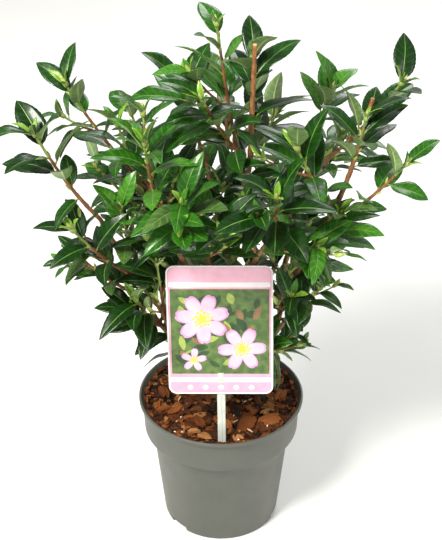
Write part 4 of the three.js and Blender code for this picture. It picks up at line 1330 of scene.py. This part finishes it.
def make_card(inks):
    """The card with its rounded corners."""
    shape = Shape()
    outline = rounded_outline(LABEL.card_width, LABEL.card_height, LABEL.corner_radius, LABEL.card_foot)
    add_sheet(shape, outline, CLEAR + LABEL.card_thick, LABEL.card_thick, INK["ink_white"])
    shape.build("label_plate", inks, "label_card", ["label_card"], smooth=False)


def make_print(inks):
    """A made-up garden print: pink bands, the top one a lighter pink as painted light against the foliage's
    shade, and a field of green with three blossoms.
    """
    shape, foot, front = Shape(), LABEL.card_foot, CLEAR + LABEL.card_thick
    width, height, edge = LABEL.card_width - 3, LABEL.card_height - 3, LABEL.corner_radius - 1.5
    low, high, half = foot + 22, foot + 112, width / 2 - 2
    add_sheet(shape, rounded_outline(width, height, edge, foot + 1.5), front + 0.03, LAYER, INK["ink_pink"])
    field = rounded_outline(2 * half, high - low, 0.5, low, 2)
    add_sheet(shape, field, front + 0.05, LAYER, INK["ink_field"])
    # the top band is a lighter pink than the rest of the card: painted light that lifts the shade the
    # foliage casts on the card's top
    top = rounded_outline(2 * half + 2, 21, edge, foot + 113)
    add_sheet(shape, top, front + 0.05, LAYER, INK["ink_blush"])
    for strip_foot in (13, 114):
        strip = rounded_outline(2 * half + 2, 5, 0.5, foot + strip_foot, 2)
        add_sheet(shape, strip, front + 0.07, LAYER, INK["ink_white"])
    for k in range(PRINTED_LEAVES):
        x, y, angle, length, wide = draws(
            111, (k,), (9 - half, half - 9), (low + 9, high - 9), (0, math.pi), (11, 17), (5, 8)
        )
        ink = INK[LEAF_INKS[k % len(LEAF_INKS)]]
        add_sheet(shape, leaf_outline((x, y), angle, length, wide), front + 0.06 + 0.0008 * k, 0.02, ink)
    for level, ((x, up), size, petals, turn) in enumerate(BLOSSOMS):
        print_blossom(shape, (x, low + up), size, petals, turn, front + 0.1 + 0.2 * (2 - level))
    for x in (-30, -15, 0, 15, 30):
        add_sheet(shape, disc((x, foot + 7.2), 2.6), front + 0.06, LAYER, INK["ink_white"])
    shape.build("label_print", inks, "label_card", smooth=False)


def add_bar(shape, width, thick, low, high, middle, edge=0.5):
    """An upright bar with bevelled long edges, about the middle of its thickness."""
    half, deep = width / 2, thick / 2
    section = [
        (half - edge, -deep), (half, -deep + edge), (half, deep - edge), (half - edge, deep),
        (-half + edge, deep), (-half, deep - edge), (-half, -deep + edge), (-half + edge, -deep),
    ]
    corners = [(x, middle + y, z) for z in (low, high) for x, y in section]
    faces = grid_faces(2, 8, closed=True) + [tuple(reversed(range(8))), tuple(range(8, 16))]
    shape.add(on_label(corners), faces)


def make_holder():
    """The stick with its head behind the card, and the tab that holds the card."""
    shape, thick, foot, margin = Shape(), LABEL.stick_thick, LABEL.card_foot, LABEL.head_margin
    top, low = foot + LABEL.head_height, foot + LABEL.tab_up
    reach = CLEAR + LABEL.card_thick + LABEL.tab_out
    add_bar(shape, LABEL.stick_width, thick, -LABEL.stick_buried, top, thick / 2)
    add_bar(shape, 1.2, 0.6, -8, foot + 4, -0.2, 0.2)  # the rib along the stick
    add_bar(shape, LABEL.head_width, thick, foot + margin, top - margin, thick / 2 + 0.02)
    add_bar(shape, LABEL.tab_width, reach + thick, low, low + LABEL.tab_height, (thick - reach) / 2, 0.3)
    plastic = procedural("stick_plastic", (176, 181, 173), (194, 198, 190), 12, (0.35, 0.5), 0.05)
    shape.build("label_holder", [plastic], "label_stick", ["label_stick"], smooth=False)


# ---------------------------------------------------------------- floor, light and camera
FLOOR_HALF = 6
CAMERA = Values(place=(0, -1.1077, 1.006), tilt=57.5, lens=89.47, sensor=36)


def make_floor():
    """A pale, level floor under the pot."""
    mesh = bpy.data.meshes.new("floor")
    corners = [(x * FLOOR_HALF, y * FLOOR_HALF, 0) for x, y in ((-1, -1), (1, -1), (1, 1), (-1, 1))]
    mesh.from_pydata(corners, [], [(0, 1, 2, 3)])
    floor = bpy.data.objects.new("floor", mesh)
    bpy.context.scene.collection.objects.link(floor)
    mesh.materials.append(
        procedural("floor_pale", (240, 240, 238), (246, 246, 244), 400, (0.7, 0.8), 0.02)
    )


def area_light(name, place, size, power, colour=(1, 1, 1)):
    """A round light that shines at the middle of the plant."""
    data = bpy.data.lights.new(name, "AREA")
    data.shape, data.size, data.energy, data.color = "DISK", size, power, colour
    light = bpy.data.objects.new(name, data)
    light.location = place
    light.rotation_euler = (Vector((0, 0, 0.33)) - Vector(place)).to_track_quat("-Z", "Y").to_euler()
    bpy.context.scene.collection.objects.link(light)


def light_studio():
    """Soft light from above the viewer's left, an even sky, and plain colours."""
    bpy.context.scene.view_settings.view_transform = "Standard"
    world = bpy.data.worlds.new("studio")
    bpy.context.scene.world = world
    world.use_nodes = True
    sky = world.node_tree.nodes["Background"]
    sky.inputs["Color"].default_value = (1, 1, 1, 1)
    sky.inputs["Strength"].default_value = 0.38
    area_light("key", (-0.9, -1.1, 1.9), 0.7, 72, (1, 0.97, 0.9))
    area_light("fill", (1.5, -0.9, 1.1), 1.0, 11, (1, 0.98, 0.94))
    area_light("back", (0.4, 1.4, 1.5), 1.0, 16)
    area_light("front", (0.2, -1.8, 0.7), 1.2, 6)


def make_camera():
    """At the photograph's angle: in front, and looking down on the pot."""
    data = bpy.data.cameras.new("camera")
    data.lens, data.sensor_width = CAMERA.lens, CAMERA.sensor
    camera = bpy.data.objects.new("camera", data)
    camera.location = CAMERA.place
    camera.rotation_euler = (math.radians(CAMERA.tilt), 0, 0)
    bpy.context.scene.collection.objects.link(camera)
    bpy.context.scene.camera = camera


limbs, sprays = grow_plant()
make_limbs(limbs)
make_stubs(limbs)
make_twigs(sprays)
make_leaves(sprays)
make_buds(sprays)
make_pot()
make_bed()
make_chips()
make_specks()
print_inks = [procedural(*ink, 7, (0.35, 0.45), 0.02, coat=0.1) for ink in PRINT_INKS]
make_card(print_inks)
make_print(print_inks)
make_holder()
make_floor()
light_studio()
make_camera()
